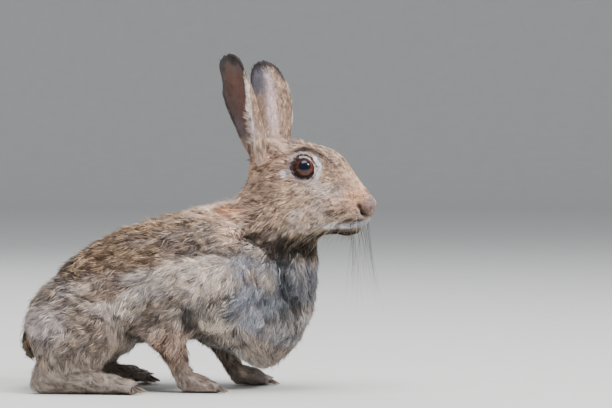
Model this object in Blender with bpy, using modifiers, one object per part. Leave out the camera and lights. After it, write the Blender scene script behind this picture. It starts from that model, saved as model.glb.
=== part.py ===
"""A wild rabbit sitting up and looking ahead, at life size.

The body is modelled whole, out to the tips of the coat, from lofted forms that are joined and smoothed.
It is then parted with thin cuts into head, neck, trunk, tail, legs and feet.
Eyes and ears are their own forms.
Metres, +X is the way the rabbit faces, +Y its left side, +Z up, and the floor is at z = 0.
"""

import math

import bmesh
import bpy
from mathutils import Matrix, Vector

MM = 0.001
CUT_GAP = 0.3  # clearance between neighbouring parts, in millimetres
SLIVER = 0.08  # points closer than this after a cut become one
VOXEL = 1.7  # grain of the joined body
CORE_ROUNDS = 26  # smoothing of the trunk, neck and upper legs where they merge
SMOOTH_ROUNDS = 6  # smoothing of the whole
LEG_MARGIN = 4.0  # how far outside a leg's own form its cut runs
LEG_REACH = 20.0  # how far past its outer side
FOOT_MARGIN = 3.0
TAIL_MARGIN = 2.5
BODY_TRIANGLES = 3200  # the joined body before it is parted
FORM_GRAIN = (28, 5)  # sides of a form's rings, and rings between two named sections
CUTTER_GRAIN = (10, 1)
BOXINESS = 0.86  # 1 gives the profile forms elliptical sections, less gives fuller ones

HEAD_PIVOT = Vector((45, 0, 140))  # where the head turns on the neck
HEAD_TURN = math.radians(-10)  # towards the rabbit's right

# Profile sections: name, upper point x z, lower point x z, half width, fullness below the middle
TRUNK = (
    ("rump end", -130, 52, -126, 37, 14, 0.0),
    ("rump", -121, 70, -109, 24, 37, 0.0),
    ("hips", -108.5, 86, -90, 18, 48, 0.05),
    ("loin", -88.5, 105, -68, 21, 50.5, 0.08),
    ("back", -63.5, 119.3, -47, 29, 49, 0.08),
    ("ribs", -34, 129.5, -25, 36, 47.5, 0.06),
    ("withers", -4, 136.5, 0, 36, 45, 0.04),
    ("shoulders", 22, 141.2, 27, 25, 41.5, 0.0),
    ("chest", 50, 139, 50, 14.5, 38.5, -0.02),
    ("breast", 78, 121, 72, 27, 31.5, 0.0),
    ("breast side", 89, 106, 84, 46, 21, 0.0),
    ("breast end", 93.5, 92, 91, 66, 8, 0.0),
)
NECK = (
    ("root", 4, 137, 72, 60, 34, 0.0),
    ("base", 23, 144.5, 90, 82, 33, 0.0),
    ("ruff", 33, 154.5, 93, 101, 30, 0.05),
    ("nape", 37.5, 166, 93, 113, 25.5, 0.08),
    ("skull", 48, 177.5, 88, 123, 20, 0.0),
)
HEAD = (
    ("occiput", 42, 174, 39.5, 147.5, 12, 0.0),
    ("ears", 49, 184, 46, 124.5, 22, 0.10),
    ("crown", 62, 189.5, 60, 113, 25, 0.17),
    ("brow", 78, 189.5, 75, 110, 25, 0.17),
    ("forehead", 93, 186, 86, 113, 22, 0.14),
    ("stop", 104, 182.5, 97, 117, 18.5, 0.10),
    ("bridge", 112.5, 176.5, 105.5, 117.8, 16, 0.08),
    ("muzzle", 119.5, 166.5, 113.5, 118.5, 14.5, 0.06),
    ("snout", 127, 156, 121, 121, 13.4, 0.04),
    ("nose", 134, 147.5, 128, 125, 10.8, 0.0),
    ("nose end", 138.3, 142, 134.5, 131, 5.5, 0.0),
)

# Swellings: centre x y z (y on the left side, mirrored to the right), half sizes x y z, pitch in degrees
HEAD_SWELLINGS = {
    "orbit": ((85, 13.5, 168.5), (14, 8.2, 12.5), -8),
    "cheek": ((64, 13.5, 139), (21, 12.5, 22), 0),
    "whisker_pad": ((121, 7.5, 133.5), (12.5, 8.2, 9.5), 18),
    "chin": ((114, 2, 123), (12, 7.5, 6), 6),
    "ear_root": ((55, 11, 181), (12.5, 10.5, 9.5), 0),
}
NOSTRIL = {"at": (134.2, 5.0, 138.5), "half": (5.2, 1.9, 1.6), "pitch": 62, "yaw": 24}
MOUTH = {"front": (134, 127.5), "corner": (107, 122), "half_gap": 0.75, "half_width": 10}
EYE = {"at": (85.5, 14.8, 167.7), "radius": 8.5}

# Limbs, for the right side (y negative): name, centre x y z, half depth in the side view, half width across
THIGH = (
    ("hip top", (-88, -24, 88), 12, 9),
    ("hip", (-91, -31, 75), 24, 16),
    ("thigh", (-94, -37.5, 60), 31.5, 21),
    ("flesh", (-90.5, -41, 48.5), 36, 21.5),
    ("knee", (-73, -42.5, 40), 26, 17.5),
    ("knee end", (-59, -42, 37.5), 10.5, 9),
)
SHANK = (
    ("under knee", (-68, -43, 32.5), 12.5, 11.5),
    ("calf", (-90, -44, 26), 13.5, 12),
    ("hock", (-109, -44, 19), 10, 9.5),
    ("heel", (-118, -44, 12.5), 8, 8.5),
)
HIND_FOOT = (
    ("heel end", (-122.5, -44, 10), 5, 5),
    ("heel", (-116.5, -44, 9.5), 10, 9),
    ("instep", (-96, -45, 9), 9.5, 9.5),
    ("ball", (-72, -47, 8), 8.5, 11.5),
    ("toe roots", (-57, -48, 7), 7.5, 12),
    ("toe roots end", (-51, -48, 6.5), 4.5, 8.5),
)
SHOULDER = (
    ("blade top", (4, -21, 125), 13, 8),
    ("blade", (8.5, -29, 112), 27, 13),
    ("shoulder", (12.5, -33.5, 94), 36.5, 15.5),
    ("upper arm", (3, -37.5, 75), 36.5, 17.5),
    ("elbow", (-16.5, -38.5, 56.5), 22.5, 14.5),
    ("elbow end", (-26, -38.5, 49), 11, 9),
)
FOREARM = (
    ("elbow", (-27, -38.5, 52), 14, 12),
    ("upper", (-23, -37.5, 42), 14, 12),
    ("forearm", (-14.5, -36.5, 30.5), 10.5, 10),
    ("wrist", (-9.5, -35.5, 15.5), 7.5, 8),
    ("wrist end", (-6.5, -35.5, 9.5), 5.5, 6.5),
)
FOREPAW = (
    ("heel end", (-14, -35.5, 8), 4, 4),
    ("wrist", (-8.5, -35.5, 8), 8, 7.5),
    ("palm", (1, -35.5, 7), 7.5, 9),
    ("toe roots", (9, -35.5, 5.5), 6.5, 9.5),
    ("toe roots end", (13.5, -35.5, 5), 4, 7),
)
TAIL = (
    ("tail root", (-110, 0, 61), 8, 9),
    ("upper", (-117, 0, 53), 9, 12.5),
    ("middle", (-122.5, 0, 43), 9, 14),
    ("lower", (-124.5, 0, 32.5), 8, 12),
    ("tail tip", (-123.5, 0, 24), 4, 5),
)

# Limb forms, by first section, that merge with the trunk
CORE_FORMS = ("hip top", "under knee", "blade top")

LEFT_ELBOW_STEP = 38  # how far ahead of the right forefoot the left one stands
LEFT_SHOULDER_STEP = 10
LEFT_HIND_STEP = 6

HIND_TOES = {
    "count": 4,
    "spread": 7.4,
    "root": (-54, -48, 5.8),
    "length": 13,
    "radius": 4.8,
    "middle_lead": 4.5,
}
FORE_TOES = {
    "count": 4,
    "spread": 5.2,
    "root": (9, -35.5, 4.8),
    "length": 10.5,
    "radius": 3.7,
    "middle_lead": 3.5,
}
CLAW = {"length": 7, "radius": 1.25, "droop": math.radians(24)}

# Ears: root, tip (before the head turns) and lean of the middle. The turns are where the back of the ear
# faces at root and tip, in degrees. Half arc is half the ear's flat width, roll its radius, and curl how
# much more the front rolls.
EARS = {
    "ear_right": {
        "root": (57.5, -12, 178),
        "tip": (26.5, -19, 253.5),
        "bow": (3.2, 0, 0),
        "turns": (20, 80),
        "half_arc": (20, 20.5),
        "roll": (12.5, 15),
        "curl": 0.35,
        "front": -1,
        "nick": 3,
    },
    "ear_left": {
        "root": (61, 12, 178),
        "tip": (44.8, 24, 249.5),
        "bow": (3.5, 0, 0),
        "turns": (-60, -84),
        "half_arc": (17.5, 19.5),
        "roll": (11, 17),
        "curl": 0.3,
        "front": 1,
        "nick": 0,
    },
}
EAR_WALL = 2.0
EAR_STEPS = (12, 8)  # along, across
EAR_WIDEST = 0.45  # where along the ear it is widest
EAR_SUNK = -0.06  # how far the ear starts below its root, as a share of its length
EAR_TIP_SHARE = 0.16  # the last ring's width against the widest
NICK_AT = 0.68

COLOURS = {  # base colour, roughness
    "coat": ((0.36, 0.28, 0.21), 0.9),
    "ear": ((0.42, 0.31, 0.27), 0.85),
    "eye": ((0.10, 0.035, 0.015), 0.08),
    "tail": ((0.14, 0.11, 0.09), 0.9),
}


def clear_scene():
    for obj in list(bpy.data.objects):
        bpy.data.objects.remove(obj, do_unlink=True)


def new_collection(name, hidden=False):
    made = bpy.data.collections.new(name)
    bpy.context.scene.collection.children.link(made)
    made.hide_render = hidden
    return made


def material(name):
    colour, roughness = COLOURS[name]
    made = bpy.data.materials.get(name) or bpy.data.materials.new(name)
    made.use_nodes = True
    shader = made.node_tree.nodes["Principled BSDF"]
    shader.inputs["Base Color"].default_value = (*colour, 1)
    shader.inputs["Roughness"].default_value = roughness
    return made


def catmull(a, b, c, d, t):
    """A smooth value between b and c, for numbers or vectors."""
    return 0.5 * (2 * b + (c - a) * t + (2 * a - 5 * b + 4 * c - d) * t * t + (3 * b - a - 3 * c + d) * t**3)


def smooth_through(values, steps):
    """The values with steps - 1 smooth ones added between each pair."""
    made = []
    for i in range(len(values) - 1):
        before, after = values[max(i - 1, 0)], values[min(i + 2, len(values) - 1)]
        made += [catmull(before, values[i], values[i + 1], after, s / steps) for s in range(steps)]
    return [*made, values[-1]]


def skin_rings(bm, rings):
    """A closed tube through rings of points."""
    loops = [[bm.verts.new(p * MM) for p in ring] for ring in rings]
    count = len(loops[0])
    for near, far in zip(loops, loops[1:]):
        for i in range(count):
            j = (i + 1) % count
            bm.faces.new((near[i], near[j], far[j], far[i]))
    bm.faces.new(list(reversed(loops[0])))
    bm.faces.new(loops[-1])


def profile_loft(bm, sections):
    """A symmetric form whose outline in the side view runs through the sections' upper and lower points."""
    sides, steps = FORM_GRAIN
    columns = [smooth_through([s[k] for s in sections], steps) for k in range(1, 7)]
    rings = []
    for top_x, top_z, low_x, low_z, half_width, fullness in zip(*columns):
        upper, lower = Vector((top_x, 0, top_z)), Vector((low_x, 0, low_z))
        centre, up = (upper + lower) / 2, (upper - lower) / 2
        ring = []
        for i in range(sides):
            angle = math.tau * i / sides
            around = math.sin(angle)
            side = half_width * math.copysign(abs(around) ** BOXINESS, around)
            side *= 1 - fullness * math.cos(angle)
            ring.append(centre + up * math.cos(angle) + Vector((0, side, 0)))
        rings.append(ring)
    skin_rings(bm, rings)


def limb_loft(bm, sections, grow=0.0, grain=FORM_GRAIN):
    """A tube along a limb, each ring square to the limb's path in the side view."""
    sides, steps = grain
    centres = smooth_through([Vector(s[1]) for s in sections], steps)
    depths = smooth_through([s[2] for s in sections], steps)
    widths = smooth_through([s[3] for s in sections], steps)
    rings = []
    for i, centre in enumerate(centres):
        along = (centres[min(i + 1, len(centres) - 1)] - centres[max(i - 1, 0)]).normalized()
        deep = Vector((along.z, 0, -along.x)).normalized()
        across = along.cross(deep).normalized()
        rings.append(
            [
                centre
                + deep * (depths[i] + grow) * math.cos(math.tau * k / sides)
                + across * (widths[i] + grow) * math.sin(math.tau * k / sides)
                for k in range(sides)
            ]
        )
    if grow:  # the ends move out too
        first, last = (centres[0] - centres[1]).normalized(), (centres[-1] - centres[-2]).normalized()
        rings[0] = [p + first * grow for p in rings[0]]
        rings[-1] = [p + last * grow for p in rings[-1]]
    skin_rings(bm, rings)


def swelling(bm, centre, half, pitch=0.0, yaw=0.0, segments=24):
    """An ellipsoid, nose down by pitch and turned by yaw, in degrees."""
    turn = Matrix.Rotation(math.radians(yaw), 4, "Z") @ Matrix.Rotation(math.radians(pitch), 4, "Y")
    scale = Matrix.Diagonal((*[h * MM for h in half], 1))
    place = Matrix.Translation(Vector(centre) * MM) @ turn @ scale
    bmesh.ops.create_uvsphere(bm, u_segments=segments, v_segments=segments // 2, radius=1, matrix=place)


def mirrored(sections, step=0.0, shift=None):
    """A right limb's sections on the left side, with each one moved ahead by its share of step."""
    made = []
    for i, (name, (x, y, z), deep, wide) in enumerate(sections):
        share = 1.0 if shift is None else shift[0] + (shift[1] - shift[0]) * i / (len(sections) - 1)
        made.append((name, (x + step * share, -y, z), deep, wide))
    return tuple(made)


def legs():
    """Every leg form by node name. Forms of one node are cut out together."""
    shoulder_share = (LEFT_SHOULDER_STEP / LEFT_ELBOW_STEP, 0.8)
    return {
        "thigh_right": (THIGH, SHANK),
        "thigh_left": (mirrored(THIGH, LEFT_HIND_STEP), mirrored(SHANK, LEFT_HIND_STEP)),
        "hind_foot_right": (HIND_FOOT,),
        "hind_foot_left": (mirrored(HIND_FOOT, LEFT_HIND_STEP),),
        "foreleg_right": (SHOULDER, FOREARM),
        "foreleg_left": (
            mirrored(SHOULDER, LEFT_ELBOW_STEP, shoulder_share),
            mirrored(FOREARM, LEFT_ELBOW_STEP, (0.8, 1)),
        ),
        "forepaw_right": (FOREPAW,),
        "forepaw_left": (mirrored(FOREPAW, LEFT_ELBOW_STEP),),
    }


def toes_of(node):
    """(root, tip, radius) of each toe of a foot."""
    sizes = HIND_TOES if node.startswith("hind") else FORE_TOES
    left = node.endswith("left")
    step = (LEFT_HIND_STEP if node.startswith("hind") else LEFT_ELBOW_STEP) if left else 0
    x, y, z = sizes["root"]
    made = []
    for i in range(sizes["count"]):
        place = i - (sizes["count"] - 1) / 2
        lead = sizes["middle_lead"] * (1 - abs(place) / sizes["count"] * 2)
        side = place * sizes["spread"] * 0.8
        root = Vector((x + step, (-y if left else y) + side, z + 0.6))
        tip = root + Vector((sizes["length"] + lead, place * sizes["spread"] * 0.28, -1.6))
        made.append((root, tip, sizes["radius"]))
    return made


def toe(bm, root, tip, radius):
    """A toe is a rounded tube, a little thicker near its tip."""
    sections = [
        ("root", root, radius * 0.9, radius * 0.8),
        ("middle", root.lerp(tip, 0.45), radius, radius * 0.86),
        ("pad", root.lerp(tip, 0.8), radius * 0.95, radius * 0.82),
        ("end", tip, radius * 0.45, radius * 0.4),
    ]
    limb_loft(bm, sections, grain=(14, 3))


def claw(bm, root, tip, radius):
    """A claw is a slim cone that droops ahead of the toe."""
    ahead = (tip - root).normalized()
    down = Matrix.Rotation(CLAW["droop"], 3, "Y") @ ahead
    start = tip - ahead * radius * 0.9
    turn = down.to_track_quat("Z", "Y").to_matrix().to_4x4()
    middle = (start + down * CLAW["length"] / 2) * MM
    bmesh.ops.create_cone(
        bm,
        cap_ends=True,
        segments=8,
        radius1=CLAW["radius"] * MM,
        radius2=0.25 * MM,
        depth=CLAW["length"] * MM,
        matrix=Matrix.Translation(middle) @ turn,
    )


def add_object(name, bm, collection):
    bmesh.ops.recalc_face_normals(bm, faces=bm.faces)
    mesh = bpy.data.meshes.new(name)
    bm.to_mesh(mesh)
    bm.free()
    obj = bpy.data.objects.new(name, mesh)
    collection.objects.link(obj)
    return obj


def head_matrix():
    pivot = Matrix.Translation(HEAD_PIVOT * MM)
    return pivot @ Matrix.Rotation(HEAD_TURN, 4, "Z") @ pivot.inverted()


def bake_modifiers(obj):
    """Replaces the object's mesh with its evaluated one."""
    graph = bpy.context.evaluated_depsgraph_get()
    mesh = bpy.data.meshes.new_from_object(obj.evaluated_get(graph), depsgraph=graph)
    obj.modifiers.clear()
    obj.data = mesh


def boolean(obj, cutter, operation):
    modifier = obj.modifiers.new(operation.lower(), "BOOLEAN")
    modifier.operation = operation
    modifier.solver = "EXACT"
    modifier.object = cutter
    bpy.context.view_layer.update()
    bake_modifiers(obj)


def copy_of(obj, name, collection):
    made = bpy.data.objects.new(name, obj.data.copy())
    collection.objects.link(made)
    return made


def keep_largest(obj):
    """Merges the slivers and drops the small crumbs that a curved cut can leave."""
    bm = bmesh.new()
    bm.from_mesh(obj.data)
    bmesh.ops.remove_doubles(bm, verts=bm.verts, dist=SLIVER * MM)
    left, groups = set(bm.verts), []
    while left:
        found, front = set(), [next(iter(left))]
        while front:
            vert = front.pop()
            if vert in found:
                continue
            found.add(vert)
            front += [e.other_vert(vert) for e in vert.link_edges]
        left -= found
        groups.append(found)
    groups.sort(key=len)
    bmesh.ops.delete(bm, geom=[v for g in groups[:-1] for v in g], context="VERTS")
    bm.to_mesh(obj.data)
    bm.free()


def remesh(obj, rounds):
    """Joins all that overlaps in the object into one even, smoothed surface."""
    join = obj.modifiers.new("join", "REMESH")
    join.mode = "VOXEL"
    join.voxel_size = VOXEL * MM
    smooth = obj.modifiers.new("smooth", "SMOOTH")
    smooth.factor = 0.5
    smooth.iterations = rounds
    bake_modifiers(obj)


def core_body(collection):
    """Trunk, neck and upper legs, whose masses run softly into each other."""
    bm = bmesh.new()
    profile_loft(bm, TRUNK)
    profile_loft(bm, NECK)
    for forms in legs().values():
        for sections in forms:
            if sections[0][0] in CORE_FORMS:
                limb_loft(bm, sections)
    core = add_object("body", bm, collection)
    remesh(core, CORE_ROUNDS)
    return core


def whole_body(collection):
    """All the flesh as one closed, smoothed body."""
    body = core_body(collection)
    bm = bmesh.new()
    profile_loft(bm, HEAD)
    for (x, y, z), half, pitch in HEAD_SWELLINGS.values():
        for side in (1, -1):
            swelling(bm, (x, side * y, z), half, pitch)
    bm.transform(head_matrix())
    limb_loft(bm, TAIL)
    for node, forms in legs().items():
        for sections in forms:
            if sections[0][0] not in CORE_FORMS:
                limb_loft(bm, sections)
        if "foot" in node or "paw" in node:
            for root, tip, radius in toes_of(node):
                toe(bm, root, tip, radius)
    bmesh.ops.recalc_face_normals(bm, faces=bm.faces)
    bm.from_mesh(body.data)
    bm.to_mesh(body.data)
    bm.free()
    remesh(body, SMOOTH_ROUNDS)
    thin = body.modifiers.new("thin", "DECIMATE")
    faces = sum(len(p.vertices) - 2 for p in body.data.polygons)
    thin.ratio = min(1.0, BODY_TRIANGLES / faces)
    bake_modifiers(body)
    return body


def face_cutters(collection):
    """The mouth line and the two nostrils."""
    bm = bmesh.new()
    (front_x, front_z), (corner_x, corner_z) = MOUTH["front"], MOUTH["corner"]
    gap, width, steps = MOUTH["half_gap"], MOUTH["half_width"], 6
    rings = []
    for i in range(steps + 1):
        t = i / steps
        x, z = front_x + 4 + (corner_x - front_x - 4) * t, front_z + (corner_z - front_z) * t
        half = gap * (1 - 0.55 * t)
        corners = ((1, 1), (1, -1), (-1, -1), (-1, 1))
        rings.append([Vector((x, side * 16, z + up * half)) for side, up in corners])
    skin_rings(bm, rings)
    bm.transform(head_matrix())
    mouth = add_object("mouth_cut", bm, collection)
    core = bmesh.new()  # the lips stay joined inside
    middle_x = (corner_x + front_x) / 2 - 4
    swelling(core, (middle_x, 0, corner_z + 1), ((front_x - corner_x) / 2 + 1, width, 9), segments=12)
    core.transform(head_matrix())
    inner = add_object("mouth_core", core, collection)
    boolean(mouth, inner, "DIFFERENCE")
    nostrils = bmesh.new()
    x, y, z = NOSTRIL["at"]
    for side in (1, -1):
        swelling(nostrils, (x, side * y, z), NOSTRIL["half"], NOSTRIL["pitch"], side * NOSTRIL["yaw"], 10)
    nostrils.transform(head_matrix())
    return [mouth, add_object("nostril_cut", nostrils, collection)]


def along_roll(distance, half_arc, roll, curl):
    """Sideways and forward places of a point at this distance from the middle of a rolled leaf."""
    steps = 8
    side, ahead = 0.0, 0.0
    for i in range(steps):
        reached = (i + 0.5) / steps * distance
        angle = reached / roll * (1 + curl * abs(reached) / half_arc)
        side += math.cos(angle) * distance / steps
        ahead += math.sin(angle) * distance / steps
    return side, ahead


def ear_width(ear, rise):
    """Half the ear's flat width at this share of its length."""
    root_arc, widest = ear["half_arc"]
    if rise < EAR_WIDEST:
        return root_arc + (widest - root_arc) * math.sin(rise / EAR_WIDEST * math.pi / 2)
    past = (rise - EAR_WIDEST) / (1 - EAR_WIDEST)
    return widest * math.sqrt(max(1 - past**2.1, EAR_TIP_SHARE**2))


def ear_point(ear, u, v):
    """A point on the ear's middle surface: u runs from root to tip, v across from one rim to the other."""
    root, tip = Vector(ear["root"]), Vector(ear["tip"])
    rise = min(max(u, 0), 1)
    turn = math.radians(ear["turns"][0] + (ear["turns"][1] - ear["turns"][0]) * rise)
    along = (tip - root).normalized()
    back = Vector((math.cos(turn), math.sin(turn), 0))
    back = (back - along * back.dot(along)).normalized()
    half_arc = ear_width(ear, rise)
    if v * ear["front"] < 0:
        nick_start, nick_end = min(max((rise - NICK_AT) / 0.04, 0), 1), min(max((0.95 - rise) / 0.1, 0), 1)
        half_arc -= ear["nick"] * nick_start * nick_end
    roll = ear["roll"][0] + (ear["roll"][1] - ear["roll"][0]) * min(rise / 0.6, 1)
    curl = ear["curl"] if v * ear["front"] > 0 else 0.0
    side, ahead = along_roll(v * half_arc, half_arc, roll, curl)
    middle = root.lerp(tip, u) + Vector(ear["bow"]) * math.sin(math.pi * rise)
    return middle + along.cross(back).normalized() * side - back * ahead


def make_ear(name, collection):
    """A rolled leaf of even thickness, from inside the head to the tip."""
    ear, (along, across) = EARS[name], EAR_STEPS
    bm = bmesh.new()
    grid = []
    for i in range(along + 1):
        u = EAR_SUNK + (1 - EAR_SUNK) * math.sin(i / along * math.pi / 2)  # closer together near the tip
        grid.append([bm.verts.new(ear_point(ear, u, 2 * j / across - 1) * MM) for j in range(across + 1)])
    for i in range(along):
        for j in range(across):
            bm.faces.new((grid[i][j], grid[i][j + 1], grid[i + 1][j + 1], grid[i + 1][j]))
    bm.transform(head_matrix())
    obj = add_object(name, bm, collection)
    wall = obj.modifiers.new("wall", "SOLIDIFY")
    wall.thickness = EAR_WALL * MM
    wall.offset = 0
    bake_modifiers(obj)
    return obj


def cut_out(body, name, cutter, grown, collection):
    """Takes the part of the body inside cutter as its own object, and leaves a thin gap round it."""
    part = copy_of(body, name, collection)
    boolean(part, cutter, "INTERSECT")
    keep_largest(part)
    boolean(body, grown, "DIFFERENCE")
    keep_largest(body)
    return part


def hull(bm, outward):
    """Wraps the points of bm, and the same points moved outward, in one convex block."""
    bmesh.ops.delete(bm, geom=bm.edges[:], context="EDGES_FACES")
    for place in [v.co + outward * MM for v in bm.verts]:
        bm.verts.new(place)
    wrapped = bmesh.ops.convex_hull(bm, input=bm.verts[:])
    inner = [v for v in wrapped["geom_interior"] if isinstance(v, bmesh.types.BMVert)]
    bmesh.ops.delete(bm, geom=inner, context="VERTS")


def limb_cutter(name, forms, grow, cutters):
    """A block round each of a limb's forms, joined. A leg's runs on past its outer side."""
    pieces = []
    for i, sections in enumerate(forms):
        bm = bmesh.new()
        limb_loft(bm, sections, grow, CUTTER_GRAIN)
        side = sections[0][1][1]
        hull(bm, Vector((0, math.copysign(LEG_REACH, side) if side else 0, 0)))
        pieces.append(add_object(f"{name}_cut_{i}", bm, cutters))
    for other in pieces[1:]:
        boolean(pieces[0], other, "UNION")
    return pieces[0]


def slab(name, point, normal, cutters, gap=0.0):
    """A large block on the side of a plane that normal points to, starting gap past it."""
    size = 400 * MM
    bm = bmesh.new()
    turn = Vector(normal).normalized().to_track_quat("Z", "Y").to_matrix().to_4x4()
    place = Matrix.Translation(Vector(point) * MM) @ turn
    shift = Matrix.Translation((0, 0, size / 2 - gap * MM))
    bmesh.ops.create_cube(bm, size=size, matrix=place @ shift)
    return add_object(name, bm, cutters)


def foot_cutter(name, forms, grow, cutters):
    """A foot's form with its toes, as one block that takes the toes whole."""
    cutter = limb_cutter(name, forms, grow, cutters)
    toes = toes_of(name)
    reach = max(tip.x for _, tip, _ in toes) + 12
    start = min(root.x for root, _, _ in toes) - 2
    y_low, y_high = min(r.y for r, _, _ in toes) - 12, max(r.y for r, _, _ in toes) + 12
    bm = bmesh.new()
    size = Vector((reach - start + grow, y_high - y_low + 2 * grow, 30 + grow)) * MM
    scale = Matrix.Diagonal((*size, 1))
    centre = Vector(((reach + start) / 2, (y_low + y_high) / 2, 0)) * MM
    bmesh.ops.create_cube(bm, size=1, matrix=Matrix.Translation(centre) @ scale)
    front = add_object(name + "_toe_cut", bm, cutters)
    boolean(cutter, front, "UNION")
    return cutter


def add_claws(obj, cutters):
    for i, (root, tip, radius) in enumerate(toes_of(obj.name)):
        bm = bmesh.new()
        claw(bm, root, tip, radius)
        boolean(obj, add_object(f"{obj.name}_claw_{i}", bm, cutters), "UNION")


HEAD_CUT = ((60, 0, 134), (0.80, 0, 0.60))  # a point on the plane and the side the head is on
NECK_CUT = ((50, 0, 112), (0.62, 0, 0.78))


def rabbit():
    clear_scene()
    parts, cutters = new_collection("rabbit"), new_collection("cutters", hidden=True)
    body = whole_body(parts)

    made = {}
    for name, forms in legs().items():
        if "foot" in name or "paw" in name:
            grows = (FOOT_MARGIN, FOOT_MARGIN + CUT_GAP)
            cutter, grown = (foot_cutter(name, forms, grow, cutters) for grow in grows)
            made[name] = cut_out(body, name, cutter, grown, parts)
    floor = slab("floor", (0, 0, 0), (0, 0, 1), cutters)
    for name, foot in made.items():
        add_claws(foot, cutters)
        boolean(foot, floor, "INTERSECT")
        keep_largest(foot)
    for name, forms in legs().items():
        if name not in made:
            grows = (LEG_MARGIN, LEG_MARGIN + CUT_GAP)
            cutter, grown = (limb_cutter(name, forms, grow, cutters) for grow in grows)
            made[name] = cut_out(body, name, cutter, grown, parts)
    grows = (TAIL_MARGIN, TAIL_MARGIN + CUT_GAP)
    cutter, grown = (limb_cutter("tail", (TAIL,), grow, cutters) for grow in grows)
    made["tail"] = cut_out(body, "tail", cutter, grown, parts)

    for name, plane in (("head", HEAD_CUT), ("neck", NECK_CUT)):
        cutter = slab(name + "_side", *plane, cutters)
        grown = slab(name + "_gap", *plane, cutters, CUT_GAP)
        made[name] = cut_out(body, name, cutter, grown, parts)
    body.name = "trunk"
    made["trunk"] = body

    head = made["head"]
    for cutter in face_cutters(cutters):
        boolean(head, cutter, "DIFFERENCE")
    for name, side in (("eye_left", 1), ("eye_right", -1)):
        x, y, z = EYE["at"]
        centre = head_matrix() @ (Vector((x, side * y, z)) * MM)
        socket = name + "_socket"
        balls = ((name, EYE["radius"], parts), (socket, EYE["radius"] + CUT_GAP, cutters))
        for label, radius, home in balls:
            bm = bmesh.new()
            place = Matrix.Translation(centre) @ Matrix.Rotation(math.pi / 2, 4, "X")
            bmesh.ops.create_uvsphere(bm, u_segments=16, v_segments=8, radius=radius * MM, matrix=place)
            made[label] = add_object(label, bm, home)
        boolean(head, made.pop(socket), "DIFFERENCE")
    keep_largest(head)

    for name in EARS:
        made[name] = make_ear(name, parts)
        grown_head = copy_of(head, name + "_head_gap", cutters)
        swell = grown_head.modifiers.new("swell", "DISPLACE")
        swell.strength = 2 * CUT_GAP * MM
        swell.mid_level = 0
        bake_modifiers(grown_head)
        boolean(made[name], grown_head, "DIFFERENCE")
        keep_largest(made[name])

    for name, obj in made.items():
        kind = name.split("_")[0]
        obj.data.materials.clear()
        obj.data.materials.append(material(kind if kind in COLOURS else "coat"))
    for cutter in cutters.objects:
        cutter.hide_render = True
        cutter.display_type = "WIRE"
    centre_on_floor(list(made.values()))


def centre_on_floor(objects):
    """Puts the middle of the rabbit's length and width at the origin."""
    points = [v.co for obj in objects for v in obj.data.vertices]
    shift = [-(min(p[k] for p in points) + max(p[k] for p in points)) / 2 for k in (0, 1)]
    lowest = min(p.z for p in points)
    for obj in objects:
        obj.data.transform(Matrix.Translation((*shift, -lowest)))


rabbit()
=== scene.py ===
import math

import bmesh
import bpy
import numpy as np
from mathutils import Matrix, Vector
from mathutils.bvhtree import BVHTree
from mathutils.kdtree import KDTree


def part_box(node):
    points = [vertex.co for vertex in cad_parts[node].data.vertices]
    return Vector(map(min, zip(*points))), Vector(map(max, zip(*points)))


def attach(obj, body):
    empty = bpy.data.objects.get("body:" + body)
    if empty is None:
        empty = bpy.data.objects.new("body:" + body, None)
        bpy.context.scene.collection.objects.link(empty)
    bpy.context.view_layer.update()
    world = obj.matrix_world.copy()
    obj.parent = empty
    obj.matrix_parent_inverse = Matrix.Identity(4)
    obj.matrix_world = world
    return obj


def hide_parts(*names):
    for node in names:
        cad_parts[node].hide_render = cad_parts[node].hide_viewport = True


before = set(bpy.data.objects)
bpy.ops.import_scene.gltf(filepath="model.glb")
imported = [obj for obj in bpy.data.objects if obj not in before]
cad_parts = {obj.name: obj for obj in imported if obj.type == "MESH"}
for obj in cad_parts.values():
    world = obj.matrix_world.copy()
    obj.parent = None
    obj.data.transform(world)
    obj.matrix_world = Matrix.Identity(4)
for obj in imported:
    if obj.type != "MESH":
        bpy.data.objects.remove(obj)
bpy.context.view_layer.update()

mm = 0.001
up = np.array((0.0, 0.0, 1.0))
dice = np.random.default_rng(11)


def named(keys, rows):
    # a table whose rows hold their values under these names
    return {name: dict(zip(keys.split(), row)) for name, row in rows.items()}


# What the skin replaces, and how the coat grows on each part: depth, length and width of its tufts in mm, tufts
# per square mm, how far they stray in degrees, and in how many rounds the skin below them is softened
coat = named("depth length width count stray soften", {
    "trunk": (3.6, 8.6, 0.78, 1.0, 17, 40),
    "neck": (3.6, 8.2, 0.74, 1.05, 15, 24),
    "thigh_left": (3.4, 8.4, 0.78, 0.9, 16, 34),
    "thigh_right": (3.4, 8.4, 0.76, 1.05, 16, 34),
    "foreleg_left": (2.8, 7.2, 0.7, 0.9, 15, 26),
    "foreleg_right": (2.8, 7.2, 0.68, 1.05, 15, 26),
    "hind_foot_left": (1.2, 4.6, 0.56, 0.95, 9, 8),
    "hind_foot_right": (1.2, 4.6, 0.56, 1.05, 9, 8),
    "forepaw_left": (0.9, 4.0, 0.5, 1.1, 9, 6),
    "forepaw_right": (0.9, 4.0, 0.5, 1.2, 9, 6),
    "tail": (3.2, 9.5, 0.75, 1.2, 14, 14),
    "head": (2.3, 5.8, 0.66, 1.5, 11, 12),
    "ear_left": (0.45, 3.6, 0.5, 0.85, 8, 10),
    "ear_right": (0.45, 3.6, 0.5, 0.85, 8, 10),
})
nodeNames = list(coat)
ears = ("ear_left", "ear_right")
feet = ("hind_foot_left", "hind_foot_right", "forepaw_left", "forepaw_right")
thighs, upperForelegs = ("thigh_left", "thigh_right"), ("foreleg_left", "foreleg_right")

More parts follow.
